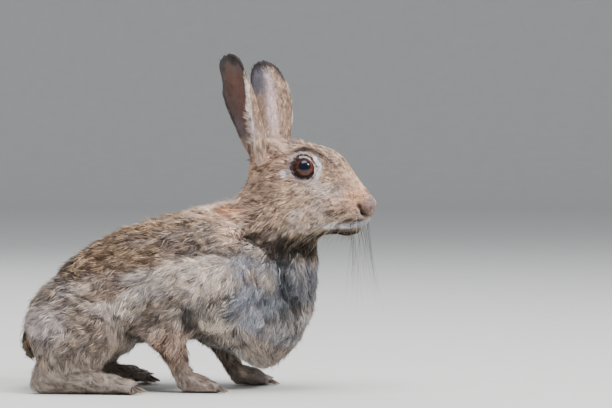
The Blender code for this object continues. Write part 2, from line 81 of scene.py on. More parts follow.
# The head's own directions, from the eyes
eyeBoxes = {side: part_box("eye_" + side) for side in ("left", "right")}
eyeCentre = {side: np.array((low + high) / 2) / mm for side, (low, high) in eyeBoxes.items()}
eyeRadius = (eyeBoxes["left"][1].z - eyeBoxes["left"][0].z) / 2 / mm
headMiddle = (eyeCentre["left"] + eyeCentre["right"]) / 2
headSide = eyeCentre["left"] - eyeCentre["right"]
headSide /= np.linalg.norm(headSide)
headAhead = np.cross(headSide, up)


def onHead(ahead, side, rise):
    return headMiddle + headAhead * ahead + headSide * side + up * rise


def inHead(points):
    away = points - headMiddle
    return np.stack((away @ headAhead, away @ headSide, away @ up), axis=1)


def unit(vectors):
    return vectors / np.maximum(np.linalg.norm(vectors, axis=-1, keepdims=True), 1e-9)


def ease(values, start, end):
    t = np.clip((values - start) / (end - start), 0, 1)
    return t * t * (3 - 2 * t)


# Meshes as arrays, in mm


def meshArrays(mesh):
    places = np.empty(len(mesh.vertices) * 3, np.float32)
    mesh.vertices.foreach_get("co", places)
    mesh.calc_loop_triangles()
    triangles = np.empty(len(mesh.loop_triangles) * 3, np.int32)
    mesh.loop_triangles.foreach_get("vertices", triangles)
    edges = np.empty(len(mesh.edges) * 2, np.int32)
    mesh.edges.foreach_get("vertices", edges)
    return places.reshape(-1, 3).astype(float) / mm, triangles.reshape(-1, 3), edges.reshape(-1, 2)


def vertexNormals(places, triangles):
    a, b, c = (places[triangles[:, k]] for k in range(3))
    across = np.cross(b - a, c - a)
    summed = np.stack([
        sum(np.bincount(triangles[:, k], across[:, axis], len(places)) for k in range(3)) for axis in range(3)
    ], axis=1)
    return unit(summed)


class Neighbours:
    def __init__(self, edges, count):
        self.ends = np.concatenate((edges[:, 0], edges[:, 1]))
        self.others = np.concatenate((edges[:, 1], edges[:, 0]))
        self.count = count
        self.degree = np.maximum(np.bincount(self.ends, minlength=count), 1)

    def mean(self, values):
        if values.ndim == 1:
            return np.bincount(self.ends, values[self.others], self.count) / self.degree
        return np.stack([self.mean(values[:, k]) for k in range(values.shape[1])], axis=1)

    def blur(self, values, rounds):
        for _ in range(rounds):
            values = (values + self.mean(values)) / 2
        return values


def linkObject(name, mesh, material=None):
    if material:
        mesh.materials.append(material)
    made = bpy.data.objects.new(name, mesh)
    bpy.context.scene.collection.objects.link(made)
    return made


def evaluated(obj):
    graph = bpy.context.evaluated_depsgraph_get()
    return bpy.data.meshes.new_from_object(obj.evaluated_get(graph), depsgraph=graph)


# Claws stand on the frame's own toes: length and thickness in mm, droop in degrees, and how many on a foot
clawSettings = {
    "hind_foot": {"length": 7.5, "radius": 1.35, "droop": 22, "count": 4},
    "forepaw": {"length": 6.5, "radius": 1.05, "droop": 26, "count": 4},
    "inToe": 2.5,  # how far back into the toe each root reaches
    "stub": 0.6,  # how much of the frame's own claw stays with the skin
    "arch": 1.0,
    "lowest": 0.05,  # how far all stay above the floor
    "root": (74, 60, 52),
    "tip": (150, 128, 106),
    "streak": (44, 35, 31),
}


def clawsOf(name):
    return clawSettings[name.rsplit("_", 1)[0]]


def clawTips(name):
    # the foremost point of each toe of a foot, and the band of the foot that the toe has
    points = meshArrays(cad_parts[name].data)[0]
    bands = np.linspace(points[:, 1].min(), points[:, 1].max(), clawsOf(name)["count"] + 1)
    tips = []
    for low, high in zip(bands, bands[1:]):
        toe = points[(points[:, 1] >= low) & (points[:, 1] <= high)]
        tips.append((toe[toe[:, 0].argmax()], low, high))
    return tips


# The skin: the flesh nodes joined, softened, drawn in by the coat's depth, then given its face

skinSettings = {
    "voxel": 1.0,  # grain of the joined skin
    "bridge": 0.35,  # each node grows by this first, which closes the cuts between them
    "triangles": 120000,
    "bodyKeep": 0.22,  # how strongly the head, ears and feet are thinned against the body
    "depthBlur": 40,  # rounds that blend the coat's depth from part to part
    "muzzle": 0.9,  # depth of the coat at the nose
    "floorGap": 0.6,  # how far the soles stay above the floor
    "lidZone": (100, 16),  # how far round the eyes the lids are smoothed: degrees and mm
    "lidRounds": 3,
}


def joinedFlesh():
    together = bmesh.new()
    for name in nodeNames:
        part = bmesh.new()
        part.from_mesh(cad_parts[name].data)
        bmesh.ops.remove_doubles(part, verts=part.verts, dist=1e-6)
        part.normal_update()
        for vert in part.verts:
            vert.co += vert.normal * skinSettings["bridge"] * mm
        if name in feet:  # claws are pieces of their own
            for tip, low, high in clawTips(name):
                furthest = tip[0] - clawsOf(name)["length"] + clawSettings["stub"]
                for vert in part.verts:
                    if low <= vert.co.y / mm <= high:
                        vert.co.x = min(vert.co.x, furthest * mm)
        copy = bpy.data.meshes.new("part")
        part.to_mesh(copy)
        together.from_mesh(copy)
        part.free()
        bpy.data.meshes.remove(copy)
    mesh = bpy.data.meshes.new("flesh")
    together.to_mesh(mesh)
    together.free()
    flesh = linkObject("flesh", mesh)
    remesh = flesh.modifiers.new("join", "REMESH")
    remesh.mode = "VOXEL"
    remesh.voxel_size = skinSettings["voxel"] * mm
    joined = evaluated(flesh)
    bpy.data.objects.remove(flesh)
    return joined


def dropCrumbs(mesh):
    # closed bubbles left inside the body go, the outer surface stays
    places, _, edges = meshArrays(mesh)
    group = np.arange(len(places))
    while True:
        lower = group.copy()
        np.minimum.at(lower, edges[:, 0], group[edges[:, 1]])
        np.minimum.at(lower, edges[:, 1], group[edges[:, 0]])
        lower = lower[lower]
        if (lower == group).all():
            break
        group = lower
    names, counts = np.unique(group, return_counts=True)
    biggest = names[counts.argmax()]
    if len(names) > 1:
        trimmed = bmesh.new()
        trimmed.from_mesh(mesh)
        trimmed.verts.ensure_lookup_table()
        stray = [trimmed.verts[i] for i in np.nonzero(group != biggest)[0]]
        bmesh.ops.delete(trimmed, geom=stray, context="VERTS")
        trimmed.to_mesh(mesh)
        trimmed.free()
    return mesh


def nearestNode(places):
    # the CAD node whose surface is nearest to each place
    corners, faces, owner = [], [], []
    for index, name in enumerate(nodeNames):
        points, triangles, _ = meshArrays(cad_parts[name].data)
        faces.append(triangles + sum(len(c) for c in corners))
        corners.append(points)
        owner += [index] * len(triangles)
    tree = BVHTree.FromPolygons(np.concatenate(corners).tolist(), np.concatenate(faces).tolist())
    return np.array([owner[tree.find_nearest(Vector(p))[2]] for p in places])


def coatValue(label, key):
    return np.array([coat[name][key] for name in nodeNames])[label]


def onNodes(label, *names):
    return np.isin(label, [nodeNames.index(name) for name in names])


eyeSettings = {
    "open": 56.5,  # half angle of the lids' opening, in degrees from the eye's middle
    "corner": 5.0,  # how much further it opens at the front and back corners
    "lid": 0.75,  # lid thickness over the eyeball
    "tilt": (0.22, 0.17),  # how far the eye looks ahead and up, against sideways
    "lidReach": 6.0,  # how far outside the eyeball the lids are still shaped
    "socket": 1.6,  # how deep the skin lies under the eyeball's surface
    "rim": 0.24,  # thickness of the dark rim
    "rimLift": 0.35,  # how far its middle stands above the eyeball
    "gaze": (-0.08, 0.19),  # where the pupil sits in the opening: ahead (below 0 is behind) and up
    "pupil": 30.0,  # half angles of the pupil and the iris
    "iris": 54.0,
    "cornea": 0.55,  # how far the cornea bulges
    "turns": 96,  # points round the eyeball
}


def eyeAxis(side):
    sign = 1 if side == "left" else -1
    ahead, rise = eyeSettings["tilt"]
    return unit(headSide * sign + headAhead * ahead + up * rise)


def eyeAngles(points, side):
    # angle from the eye's axis, and the angle round it (0 is ahead, 90 up), in degrees
    axis = eyeAxis(side)
    away = unit(points - eyeCentre[side])
    tilt = np.degrees(np.arccos(np.clip(away @ axis, -1, 1)))
    ahead = unit(headAhead - axis * (headAhead @ axis))
    above = np.cross(ahead, axis) * (1 if side == "right" else -1)
    above = above if above[2] > 0 else -above
    return tilt, np.degrees(np.arctan2(away @ above, away @ ahead)), ahead, above


def lidOpening(around):
    # the opening is a circle drawn out a little into its front and back corners
    turn = np.radians(around)
    corner = np.maximum(np.cos(turn + 0.35), 0) ** 6 + 0.7 * np.maximum(-np.cos(turn - 0.1), 0) ** 6
    return eyeSettings["open"] + eyeSettings["corner"] * corner - 3.0 * np.maximum(np.sin(turn), 0) ** 2


def shapeEyes(places):
    for side in eyeCentre:
        tilt, around, _, _ = eyeAngles(places, side)
        away = places - eyeCentre[side]
        reach = np.linalg.norm(away, axis=1)
        margin = tilt - lidOpening(around)
        inside = eyeRadius - eyeSettings["socket"]
        lid = eyeRadius + eyeSettings["lid"] * (1 + 0.8 * ease(margin, 0, 22))
        wanted = np.where(margin < 0, inside + (lid - inside) * ease(margin, -9, 0), lid)
        near = (reach < eyeRadius + eyeSettings["lidReach"]) & (tilt < 120)
        raised = np.where(margin > 0, np.maximum(reach, wanted), wanted)
        raised = np.where(margin > 0, reach + (raised - reach) * (1 - ease(margin, 55, 75)), raised)
        reach = np.where(near, raised, reach)
        places = eyeCentre[side] + unit(away) * reach[:, None]
    return places


# Lines pressed into the face on both sides: places ahead of and above the eyes, width, depth and how bare they are,
# their bare skin painted near black as the shade inside the nostrils and along the lip fold
creases = named("line width depth bare", {
    "nostril": (((41.4, -27.6), (43.8, -30.2), (46.0, -33.2), (47.6, -36.0)), 3.3, 3.4, 1),
    "nostrilHollow": (((44.8, -32.2), (46.8, -35.0)), 4.4, 3.0, 1),
    "nostrilWing": (((38.5, -31.0), (41.0, -34.5), (44.0, -37.2)), 1.5, 0.5, 0),
    "lipFold": (
        ((19.2, -35), (23.7, -37.6), (30.4, -39.4), (37.9, -39.6), (44.7, -38.9), (49.5, -38.2)), 1.5, 1.5, 0.6,
    ),
})

# Folds and hollows of the body under the coat: lines in x and z on each side, their width, depth (below 0 raises),
# shade (painted shade that darkens the coat in the hollows, partly its dark underfur showing; below 0 paler tips, a
# painted highlight on the ridges) and share of both on the left side
folds = named("line width depth shade left", {
    "ridgeShadow": (((-42, 84), (-31, 97), (-14, 104), (8, 104)), 8, 1.0, 0.1),
    "shoulderRidge": (((-33, 80), (-24, 91), (-11, 96), (8, 95), (23, 96)), 8, -2.2, -1.0),
    "elbowHollow": (((-9, 58), (-5, 52), (0, 46), (8, 38)), 10, 4.5, 1.0, 0.3),
    "chestUnder": (((-4, 38), (10, 35), (28, 33)), 12, 1.5, 1.0),
    "flankHollow": (((-51, 46), (-46, 38), (-44, 30)), 9, 4.0, 0.85),
    "bellyShade": (((-44, 40), (-36, 36), (-28, 34)), 9, 1.0, 0.9, 0.4),
    "haunchFold": (((-92, 84), (-76, 74), (-66, 62)), 9, 1.2, 0.1),
    "haunchShade": (((-112, 70), (-100, 68), (-90, 62)), 7, 0.5, 0.45),
    "backShade": (((-70, 110), (-58, 103), (-50, 93)), 10, 0.9, 0.1),
    "backShadeAhead": (((-44, 117), (-34, 110), (-26, 104)), 8, 0.8, 0.15),
    "withersShade": (((-14, 119), (-4, 111), (10, 105)), 8, 0.5, 0.0),
    "rumpShade": (((-130, 56), (-120, 76), (-104, 92), (-88, 104)), 8, 0.4, 0.55),
    "napeFold": (((26, 140), (35, 129), (46, 119)), 5, 1.4, 0.15),
    "napeRidge": (((-8, 136), (10, 140), (22, 140)), 12, -0.4, -0.9),
    "napeHollow": (((30, 172), (33, 162), (31, 152), (26, 146)), 14, 4.0, 0.15),
    "ruffFold": (((35, 117), (50, 109), (62, 110), (78, 109)), 9, 3.4, 0.9),
    "throatFold": (((66, 104), (80, 104), (90, 108)), 9, 1.0, 1.0),
    "chestFold": (((58, 100), (64, 86), (70, 68), (74, 50)), 7, 3.0, 0.85),
    "chestFoldRear": (((46, 66), (54, 52), (60, 38)), 7, 2.4, -0.2),
    "chestLocks": (((52, 94), (56, 78), (58, 62)), 5, -1.6, -0.6),
    "chestLocksAhead": (((70, 92), (76, 76), (82, 58)), 5, -1.6, -0.35),
    "chestLocksRear": (((26, 84), (34, 66), (38, 48)), 6, -1.4, -0.4),
})


def towardsBody(tree, x, z, sign):
    hit = tree.ray_cast(Vector((x, sign * 200, z)), Vector((0, -sign, 0)))[0]
    return np.array(hit) if hit else np.array((x, 0, z))


def towardsHead(tree, ahead, rise, sign):
    start = onHead(ahead, sign * 40, rise)
    hit = tree.ray_cast(Vector(start), Vector(-headSide * sign))[0]
    return np.array(hit) if hit else onHead(ahead, 0, rise)


def distanceToLine(points, line):
    best = np.full(len(points), 1e9)
    for start, end in zip(line, line[1:]):
        span = end - start
        t = np.clip(((points - start) @ span) / max(span @ span, 1e-9), 0, 1)
        best = np.minimum(best, np.linalg.norm(points - (start + t[:, None] * span), axis=1))
    return best


def creaseLines(tree):
    lines = {}
    for name, crease in creases.items():
        for sign in (1, -1):
            lines[name, sign] = [towardsHead(tree, ahead, rise, sign) for ahead, rise in crease["line"]]
    for name, fold in folds.items():
        for sign in (1, -1):
            lines[name, sign] = [towardsBody(tree, x, z, sign) for x, z in fold["line"]]
    return lines


def makeSkin():
    mesh = dropCrumbs(joinedFlesh())
    places, triangles, edges = meshArrays(mesh)
    label = nearestNode(places)
    around = Neighbours(edges, len(places))
    rounds = coatValue(label, "soften")
    print("skin joined:", len(places), "points")
    for i in range(int(rounds.max())):
        step = 0.5 if i % 2 == 0 else -0.51
        places = np.where((rounds > i)[:, None], places + step * (around.mean(places) - places), places)
    depth = coatValue(label, "depth")
    least = skinSettings["muzzle"]
    muzzle = least + (depth - least) * (1 - ease(inHead(places)[:, 0], -12, 34))
    depth = np.where(onNodes(label, "head"), muzzle, depth)
    depth = around.blur(depth, skinSettings["depthBlur"])
    depth = np.where(onNodes(label, *ears), np.minimum(depth, coat["ear_left"]["depth"]), depth)
    depth = around.blur(depth, 3)
    normals = around.blur(vertexNormals(places, triangles), 2)
    places = places - unit(normals) * depth[:, None]
    places[:, 2] = np.maximum(places[:, 2], skinSettings["floorGap"])
    places = shapeEyes(places)
    widest, furthest = skinSettings["lidZone"]
    nearEye = np.minimum(*(eyeAngles(places, side)[0] for side in eyeCentre)) < widest
    nearEye &= np.minimum(*(np.linalg.norm(places - c, axis=1) for c in eyeCentre.values())) < furthest
    for _ in range(skinSettings["lidRounds"]):
        places = np.where(nearEye[:, None], (places + around.mean(places)) / 2, places)
    tree = BVHTree.FromPolygons(places.tolist(), triangles.tolist())
    normals = vertexNormals(places, triangles)
    bare, shade, inward = np.zeros((3, len(places)))
    for (name, sign), line in creaseLines(tree).items():
        crease = creases.get(name) or folds[name]
        closeness = 1 - np.clip(distanceToLine(places, line) / crease["width"], 0, 1) ** 2
        if sign == 1:  # the left foreleg stands further ahead, so the hollow behind it shows less
            closeness = closeness * crease.get("left", 1)
        if name in folds:
            closeness = closeness ** 1.5
            shade += closeness * crease["shade"]
        else:
            bare = np.maximum(bare, closeness * crease["bare"])
        inward += closeness * crease["depth"]
    places = places - normals * inward[:, None]
    return places, triangles, edges, label, depth, bare, np.clip(shade, -1, 1), around


def earZones(places, normals, label, edges):
    # on the ears: inner side or not, distance from the rim, share of the height, and how far ahead of the middle
    inner, height, ahead = np.zeros((3, len(places)))
    rim = np.full(len(places), 60.0)  # off the ears
    for name in ears:
        mine = np.nonzero(onNodes(label, name))[0]
        height[mine] = (places[mine, 2] - places[mine, 2].min()) / np.ptp(places[mine, 2])
        level = (places[mine, 2] / 3).astype(int)
        for step in np.unique(level):
            ring = mine[level == step]
            centre = places[ring].mean(0)
            inner[ring] = (((centre - places[ring]) * normals[ring]).sum(1) > 0).astype(float)
            ahead[ring] = (places[ring] - centre) @ headAhead
        inside = np.isin(edges, mine).all(1)
        border = np.unique(edges[inside & (inner[edges[:, 0]] != inner[edges[:, 1]])])
        finder = KDTree(len(border))
        for i in border:
            finder.insert(Vector(places[i]), int(i))
        finder.balance()
        rim[mine] = [finder.find(Vector(places[i]))[2] for i in mine]
    return inner, rim, height, ahead


def thinBody(skin, label):
    # fewer, larger faces on the body, where the coat hides them
    keep = skin.vertex_groups.new(name="body")
    fine = onNodes(label, "head", *ears, *feet)
    keep.add(np.nonzero(~fine)[0].tolist(), 1.0, "REPLACE")
    keep.add(np.nonzero(fine)[0].tolist(), skinSettings["bodyKeep"], "REPLACE")
    faces = sum(len(p.vertices) - 2 for p in skin.data.polygons)
    thin = skin.modifiers.new("thin", "DECIMATE")
    thin.ratio = min(1.0, skinSettings["triangles"] / faces)
    thin.vertex_group = "body"
    thin.vertex_group_factor = 1.0
    mesh = evaluated(skin)
    skin.modifiers.clear()
    skin.vertex_groups.clear()
    skin.data = mesh


def newMesh(name, places, triangles):
    mesh = bpy.data.meshes.new(name)
    mesh.vertices.add(len(places))
    mesh.vertices.foreach_set("co", (places * mm).astype(np.float32).ravel())
    mesh.loops.add(triangles.size)
    mesh.loops.foreach_set("vertex_index", triangles.astype(np.int32).ravel())
    mesh.polygons.add(len(triangles))
    mesh.polygons.foreach_set("loop_start", np.arange(0, triangles.size, 3, dtype=np.int32))
    mesh.update(calc_edges=True)
    mesh.shade_smooth()
    return mesh


def addAttribute(mesh, name, values):
    kind = "FLOAT" if values.ndim == 1 else "FLOAT_VECTOR"
    made = mesh.attributes.new(name, kind, "POINT")
    made.data.foreach_set("value" if values.ndim == 1 else "vector", values.astype(np.float32).ravel())


def readAttribute(mesh, name, width):
    values = np.empty(len(mesh.vertices) * width, np.float32)
    mesh.attributes[name].data.foreach_get("value" if width == 1 else "vector", values)
    return values.reshape(-1, width) if width > 1 else values


places, triangles, edges, label, depth, bare, shade, around = makeSkin()
normals = vertexNormals(places, triangles)
inner, rim, earHeight, earAhead = earZones(places, normals, label, edges)
inner = around.blur(inner, 1)
skinMesh = newMesh("skin", places, triangles)
skin = linkObject("skin", skinMesh)
addAttribute(skinMesh, "zones", np.stack((inner, rim, bare), axis=1))
addAttribute(skinMesh, "earPlace", np.stack((earHeight, earAhead, inner * 0), axis=1))
addAttribute(skinMesh, "coatDepth", depth)
addAttribute(skinMesh, "shade", shade)
thinBody(skin, label)
skinMesh = skin.data
skinMesh.name = "skin"
places, triangles, _ = meshArrays(skinMesh)
normals = vertexNormals(places, triangles)
zones = readAttribute(skinMesh, "zones", 3)
earPlace = readAttribute(skinMesh, "earPlace", 3)
depth = readAttribute(skinMesh, "coatDepth", 1)
shade = readAttribute(skinMesh, "shade", 1)
label = nearestNode(places)
skinTree = BVHTree.FromPolygons(places.tolist(), triangles.tolist())
addAttribute(skinMesh, "place", places)
addAttribute(skinMesh, "headPlace", inHead(places))
addAttribute(skinMesh, "strand", np.tile((0.3, 0.5, 0.5), (len(places), 1)))
print("skin made:", len(triangles), "triangles")

# Materials: shared node groups first


def makeGroup(name, inputs, outputs):
    group = bpy.data.node_groups.new(name, "ShaderNodeTree")
    for label, kind, value in inputs:
        socket = group.interface.new_socket(label, in_out="INPUT", socket_type="NodeSocket" + kind)
        if value is not None:
            socket.default_value = value
    for label, kind in outputs:
        group.interface.new_socket(label, in_out="OUTPUT", socket_type="NodeSocket" + kind)
    source = group.nodes.new("NodeGroupInput").outputs
    sink = group.nodes.new("NodeGroupOutput").inputs
    return group, source, sink


def node(tree, kind, links=None, **settings):
    made = tree.nodes.new("ShaderNode" + kind)
    for key, value in settings.items():
        setattr(made, key, value)
    for socket, value in (links or {}).items():
        target = made.inputs[socket]
        if isinstance(value, bpy.types.NodeSocket):
            tree.links.new(value, target)
        else:
            target.default_value = value
    return made


def maths(tree, operation, *values):
    return node(tree, "Math", dict(enumerate(values)), operation=operation).outputs[0]


def times(tree, first, second):
    return maths(tree, "MULTIPLY", first, second)


def vectorMaths(tree, operation, *values):
    made = node(tree, "VectorMath", dict(enumerate(values)), operation=operation)
    return made.outputs["Value" if operation in ("LENGTH", "DOT_PRODUCT") else "Vector"]


def split(tree, vector):
    return node(tree, "SeparateXYZ", {0: vector}).outputs


def combined(tree, x, y, z):
    return node(tree, "CombineXYZ", {0: x, 1: y, 2: z}).outputs[0]


def mapped(tree, value, low, high, start=0.0, end=1.0, smooth=True):
    kind = "SMOOTHSTEP" if smooth else "LINEAR"
    links = {"Value": value, "From Min": low, "From Max": high, "To Min": start, "To Max": end}
    return node(tree, "MapRange", links, interpolation_type=kind).outputs["Result"]


def mixed(tree, factor, first, second):
    return node(tree, "Mix", {0: factor, 6: first, 7: second}, data_type="RGBA").outputs[2]


def mixedValue(tree, factor, first, second):
    return node(tree, "Mix", {0: factor, 2: first, 3: second}, data_type="FLOAT").outputs[0]


def noise(tree, vector, scale, detail=3.0, rough=0.5):
    return node(tree, "TexNoise", {"Vector": vector, "Scale": scale, "Detail": detail, "Roughness": rough}).outputs[0]


def feed(tree, target, **links):
    # links into the sockets of these names, with _ for a space
    for label, value in links.items():
        tree.links.new(value, target.inputs[label.replace("_", " ")])


def linear(colour):
    # a colour given as 0 to 255 in each channel, the way a paint chart does
    return [((c / 255 + 0.055) / 1.055) ** 2.4 if c > 10 else c / 255 / 12.92 for c in colour] + [1.0]


def paints(colours):
    return {name: linear(colour) for name, colour in colours.items()}


def patchMaskGroup():
    # a soft-edged blob at a place on the rabbit, 1 inside and 0 outside
    group, source, sink = makeGroup(
        "patchMask",
        (("Place", "Vector", None), ("Centre", "Vector", None), ("Reach", "Vector", None), ("Wander", "Float", 0.0)),
        (("Mask", "Float"),),
    )
    away = vectorMaths(group, "SUBTRACT", source["Place"], source["Centre"])
    away = vectorMaths(group, "DIVIDE", away, source["Reach"])
    distance = maths(group, "ADD", vectorMaths(group, "LENGTH", away), source["Wander"])
    group.links.new(mapped(group, distance, 1.15, 0.45), sink["Mask"])
    return group


# Markings: where (x, |y|, z in mm; on the head: ahead of, beside and above the eyes), how far they reach,
# colour, how dark the ticked tips are (0 to 1), and strength
markings = {
    "base": ((168, 154, 146), 0.5),
    "body": (
        ("backTop", (-40, 0, 128), (110, 40, 30), (142, 112, 88), 0.65, 0.95),
        ("rump", (-90, 20, 104), (40, 44, 24), (96, 74, 58), 0.7, 0.85),
        ("backBand", (-52, 40, 102), (56, 28, 17), (150, 122, 100), 0.6, 0.8),
        ("backAhead", (-12, 42, 112), (26, 28, 10), (145, 128, 123), 0.7, 0.85),
        ("nape", (14, 0, 140), (30, 46, 19), (240, 200, 174), 0.5, 0.9),
        ("napeGlow", (24, 0, 135), (14, 50, 10), (236, 164, 118), 0.4, 0.8),
        ("napeSide", (26, 34, 120), (17, 26, 13), (252, 212, 188), 0.7, 0.85),
        ("shoulder", (0, 48, 86), (34, 26, 20), (252, 232, 222), 0.7, 0.9),
        ("flankGrey", (-40, 52, 80), (20, 26, 16), (216, 206, 202), 0.55, 0.85),
        ("flank", (-72, 54, 80), (22, 28, 13), (180, 158, 146), 0.65, 0.8),
        ("flankPale", (-60, 56, 62), (22, 26, 10), (240, 226, 218), 0.55, 0.85),
        ("haunchTop", (-98, 48, 77), (18, 28, 9), (186, 174, 168), 0.5, 0.8),
        ("haunchMiddle", (-82, 60, 48), (32, 26, 20), (172, 154, 143), 0.6, 0.85),
        ("haunch", (-112, 50, 52), (22, 34, 20), (242, 226, 224), 0.5, 0.9),
        # painted shade: darker low on the shoulder, where the body turns under
        ("shoulderLowShade", (6, 48, 62), (30, 28, 15), (166, 161, 159), 0.6, 0.85),
        ("chestPaleTips", (14, 42, 50), (18, 26, 9), (231, 217, 198), 0.35, 0.8),
        ("slate", (40, 34, 64), (22, 34, 28), (164, 170, 184), 0.3, 0.9),
        ("slateHigh", (36, 38, 94), (18, 28, 12), (170, 174, 188), 0.3, 0.85),
        ("chest", (64, 24, 80), (16, 30, 32), (110, 120, 132), 0.12, 0.85),
        ("chestFront", (88, 0, 80), (14, 24, 24), (114, 118, 126), 0.05, 0.95),
        ("chestAhead", (78, 22, 82), (12, 20, 26), (108, 114, 124), 0.1, 0.85),
        ("chestLow", (66, 20, 43), (24, 28, 10), (172, 172, 178), 0.15, 0.8),
        ("chestTips", (80, 16, 52), (12, 22, 9), (200, 196, 196), 0.15, 0.85),
        ("chestBuff", (42, 40, 89), (6, 20, 5), (226, 190, 160), 0.3, 0.5),
        # painted shadow on the throat, under the jaw
        ("throatShadow", (74, 12, 108), (26, 32, 10), (64, 66, 62), 0.2, 0.9),
        ("ruff", (50, 36, 116), (20, 26, 7), (114, 113, 114), 0.6, 0.8),
        ("neckSide", (52, 30, 128), (22, 26, 12), (218, 184, 166), 0.7, 0.7),
        ("earRear", (39, 14, 172), (6, 18, 17), (92, 84, 80), 0.4, 0.85),
        ("earFront", (48, 20, 170), (6, 10, 12), (202, 172, 162), 0.3, 0.75),
        ("belly", (-20, 0, 30), (90, 32, 22), (205, 200, 196), 0.1, 0.9),
        ("foreleg", (-22, 44, 34), (20, 18, 22), (206, 174, 158), 0.5, 0.85),
        ("forelegLow", (4, 40, 14), (26, 14, 16), (166, 146, 134), 0.3, 0.8),
        ("forelegAhead", (42, 40, 24), (20, 14, 24), (160, 144, 134), 0.25, 0.8),
        ("hindFoot", (-80, 48, 8), (56, 22, 14), (172, 156, 144), 0.25, 0.85),
        ("haunchRear", (-125, 34, 38), (8, 20, 12), (108, 94, 82), 0.5, 0.8),
        ("tailTop", (-128, 0, 40), (12, 20, 26), (86, 80, 66), 0.7, 0.95),
    ),
    "head": (
        ("headBase", (0, 0, -8), (75, 60, 60), (204, 169, 148), 0.8, 1.0),
        ("cheek", (-4, 26, -30), (26, 22, 20), (255, 216, 190), 0.9, 0.85),
        ("cheekFront", (24, 18, -26), (16, 14, 14), (246, 212, 196), 0.75, 0.85),
        ("underEye", (14, 22, -15), (20, 14, 8), (255, 234, 226), 0.5, 0.7),
        ("forehead", (18, 0, 12), (24, 26, 14), (192, 162, 147), 1.0, 0.8),
        ("bridge", (38, 0, -8), (16, 14, 14), (246, 204, 177), 1.0, 0.85),
        ("snoutSide", (42, 12, -24), (14, 12, 12), (252, 196, 160), 0.95, 0.85),
        ("noseTip", (52, 0, -24), (8, 12, 8), (178, 158, 152), 0.35, 0.9),
        # painted shadow under the jaw
        ("jawShadow", (8, 10, -56), (46, 26, 13), (62, 60, 54), 0.4, 0.9),
        # painted shadow on the chin, below the lip
        ("chin", (28, 0, -51.5), (34, 18, 8.0), (28, 30, 27), 0.1, 1.0),
        ("lipRear", (19, 18, -43.4), (7, 16, 3.0), (252, 252, 252), 0.4, 0.85),
        ("lip", (31, 12, -43.0), (9, 18, 2.6), (232, 234, 244), 0.5, 0.9),
        ("lipAhead", (41, 10, -41.6), (8, 16, 3.0), (196, 198, 210), 0.2, 0.9),
        ("lipFront", (48, 8, -39.6), (4, 12, 3.4), (252, 252, 252), 0.1, 0.95),
        ("lipShade", (36, 10, -38.2), (11, 14, 1.7), (96, 82, 80), 0.5, 0.8),
        # painted shade round the corner of the mouth
        ("lipCornerShade", (20, 18, -34), (7, 10, 4), (84, 72, 64), 0.7, 0.75),
        ("whiskerRows", (28, 16, -32), (9, 12, 6), (170, 128, 106), 0.95, 0.6),
        ("noseSide", (48, 8, -27), (4.5, 10, 6), (172, 142, 144), 0.2, 0.8),
        # painted shade in the fold between the ears and the crown
        ("earFoldShade", (-30, 14, 16.6), (9, 16, 3), (70, 56, 50), 0.6, 0.85),
        ("earFoldRearShade", (-40, 14, 15), (5, 16, 3.5), (64, 54, 50), 0.5, 0.8),
        ("earFoldLow", (-33, 16, 8), (10, 14, 7), (204, 162, 145), 0.5, 0.7),
        ("crown", (-16, 0, 20), (18, 28, 12), (206, 176, 164), 0.8, 0.85),
        ("jawRear", (-16, 22, -43), (13, 16, 8), (124, 112, 102), 0.7, 0.75),
        ("jawGrey", (4, 22, -43), (20, 16, 6), (190, 186, 186), 0.6, 0.5),
        ("cheekGrey", (9, 20, -31), (8, 14, 12), (218, 210, 212), 0.6, 0.4),
        ("cheekPale", (-6, 22, -34), (7, 14, 7), (255, 232, 222), 0.5, 0.7),
        ("cheekSpot", (-19, 26, -30), (3.5, 12, 3), (110, 94, 84), 0.5, 0.8),
        ("browFront", (12, 16, 9.5), (5, 12, 3.2), (96, 76, 66), 0.8, 0.8),
        ("paleBelowEye", (7, 20, -10.8), (5.5, 12, 3.0), (240, 226, 224), 0.2, 0.6),
        ("paleBehindEye", (-14, 20, -4), (3.6, 10, 4.0), (255, 252, 252), 0.0, 0.95),
    ),
    # round the eyes: distance from the eye's middle, half width, direction and spread in degrees, colour and so on
    "rings": (
        ("ringBelow", 10.8, 1.8, -70, 45, (214, 192, 182), 0.4, 0.6),
        ("ringRear", 10.4, 1.6, 195, 60, (140, 124, 114), 0.3, 0.5),
        ("ringFront", 12.4, 2.3, 4, 44, (255, 250, 250), 0.0, 0.95),
        ("ringTop", 11.9, 1.3, 108, 38, (232, 218, 228), 0.0, 0.85),
        ("brow", 14.2, 2.0, 93, 30, (34, 24, 22), 0.1, 1.0),
        ("browAhead", 15.8, 3.0, 46, 24, (40, 28, 24), 0.1, 1.0),
        ("lid", 8.8, 1.8, 80, 180, (232, 210, 212), 0.0, 0.9),
    ),
}


def ringMaskGroup():
    # part of a soft ring round an eye
    group, source, sink = makeGroup(
        "ringMask",
        (
            ("Place", "Vector", None), ("Distance", "Float", 12.0), ("Half Width", "Float", 2.0),
            ("Towards", "Vector", None), ("Spread", "Float", 0.5), ("Wander", "Float", 0.0),
        ),
        (("Mask", "Float"),),
    )
    flat = vectorMaths(group, "SUBTRACT", source["Place"], (-1.0, 0.0, 0.0))
    flat = vectorMaths(group, "MULTIPLY", flat, (1.0, 0.0, 1.0))
    off = maths(group, "ABSOLUTE", maths(group, "SUBTRACT", vectorMaths(group, "LENGTH", flat), source["Distance"]))
    off = maths(group, "ADD", maths(group, "DIVIDE", off, source["Half Width"]), source["Wander"])
    facing = vectorMaths(group, "DOT_PRODUCT", vectorMaths(group, "NORMALIZE", flat), source["Towards"])
    facing = mapped(group, maths(group, "SUBTRACT", facing, source["Spread"]), -0.2, 0.2)
    beside = mapped(group, split(group, source["Place"])[1], 6.0, 9.0)
    mask = times(group, times(group, mapped(group, off, 1.2, 0.6), facing), beside)
    group.links.new(mask, sink["Mask"])
    return group


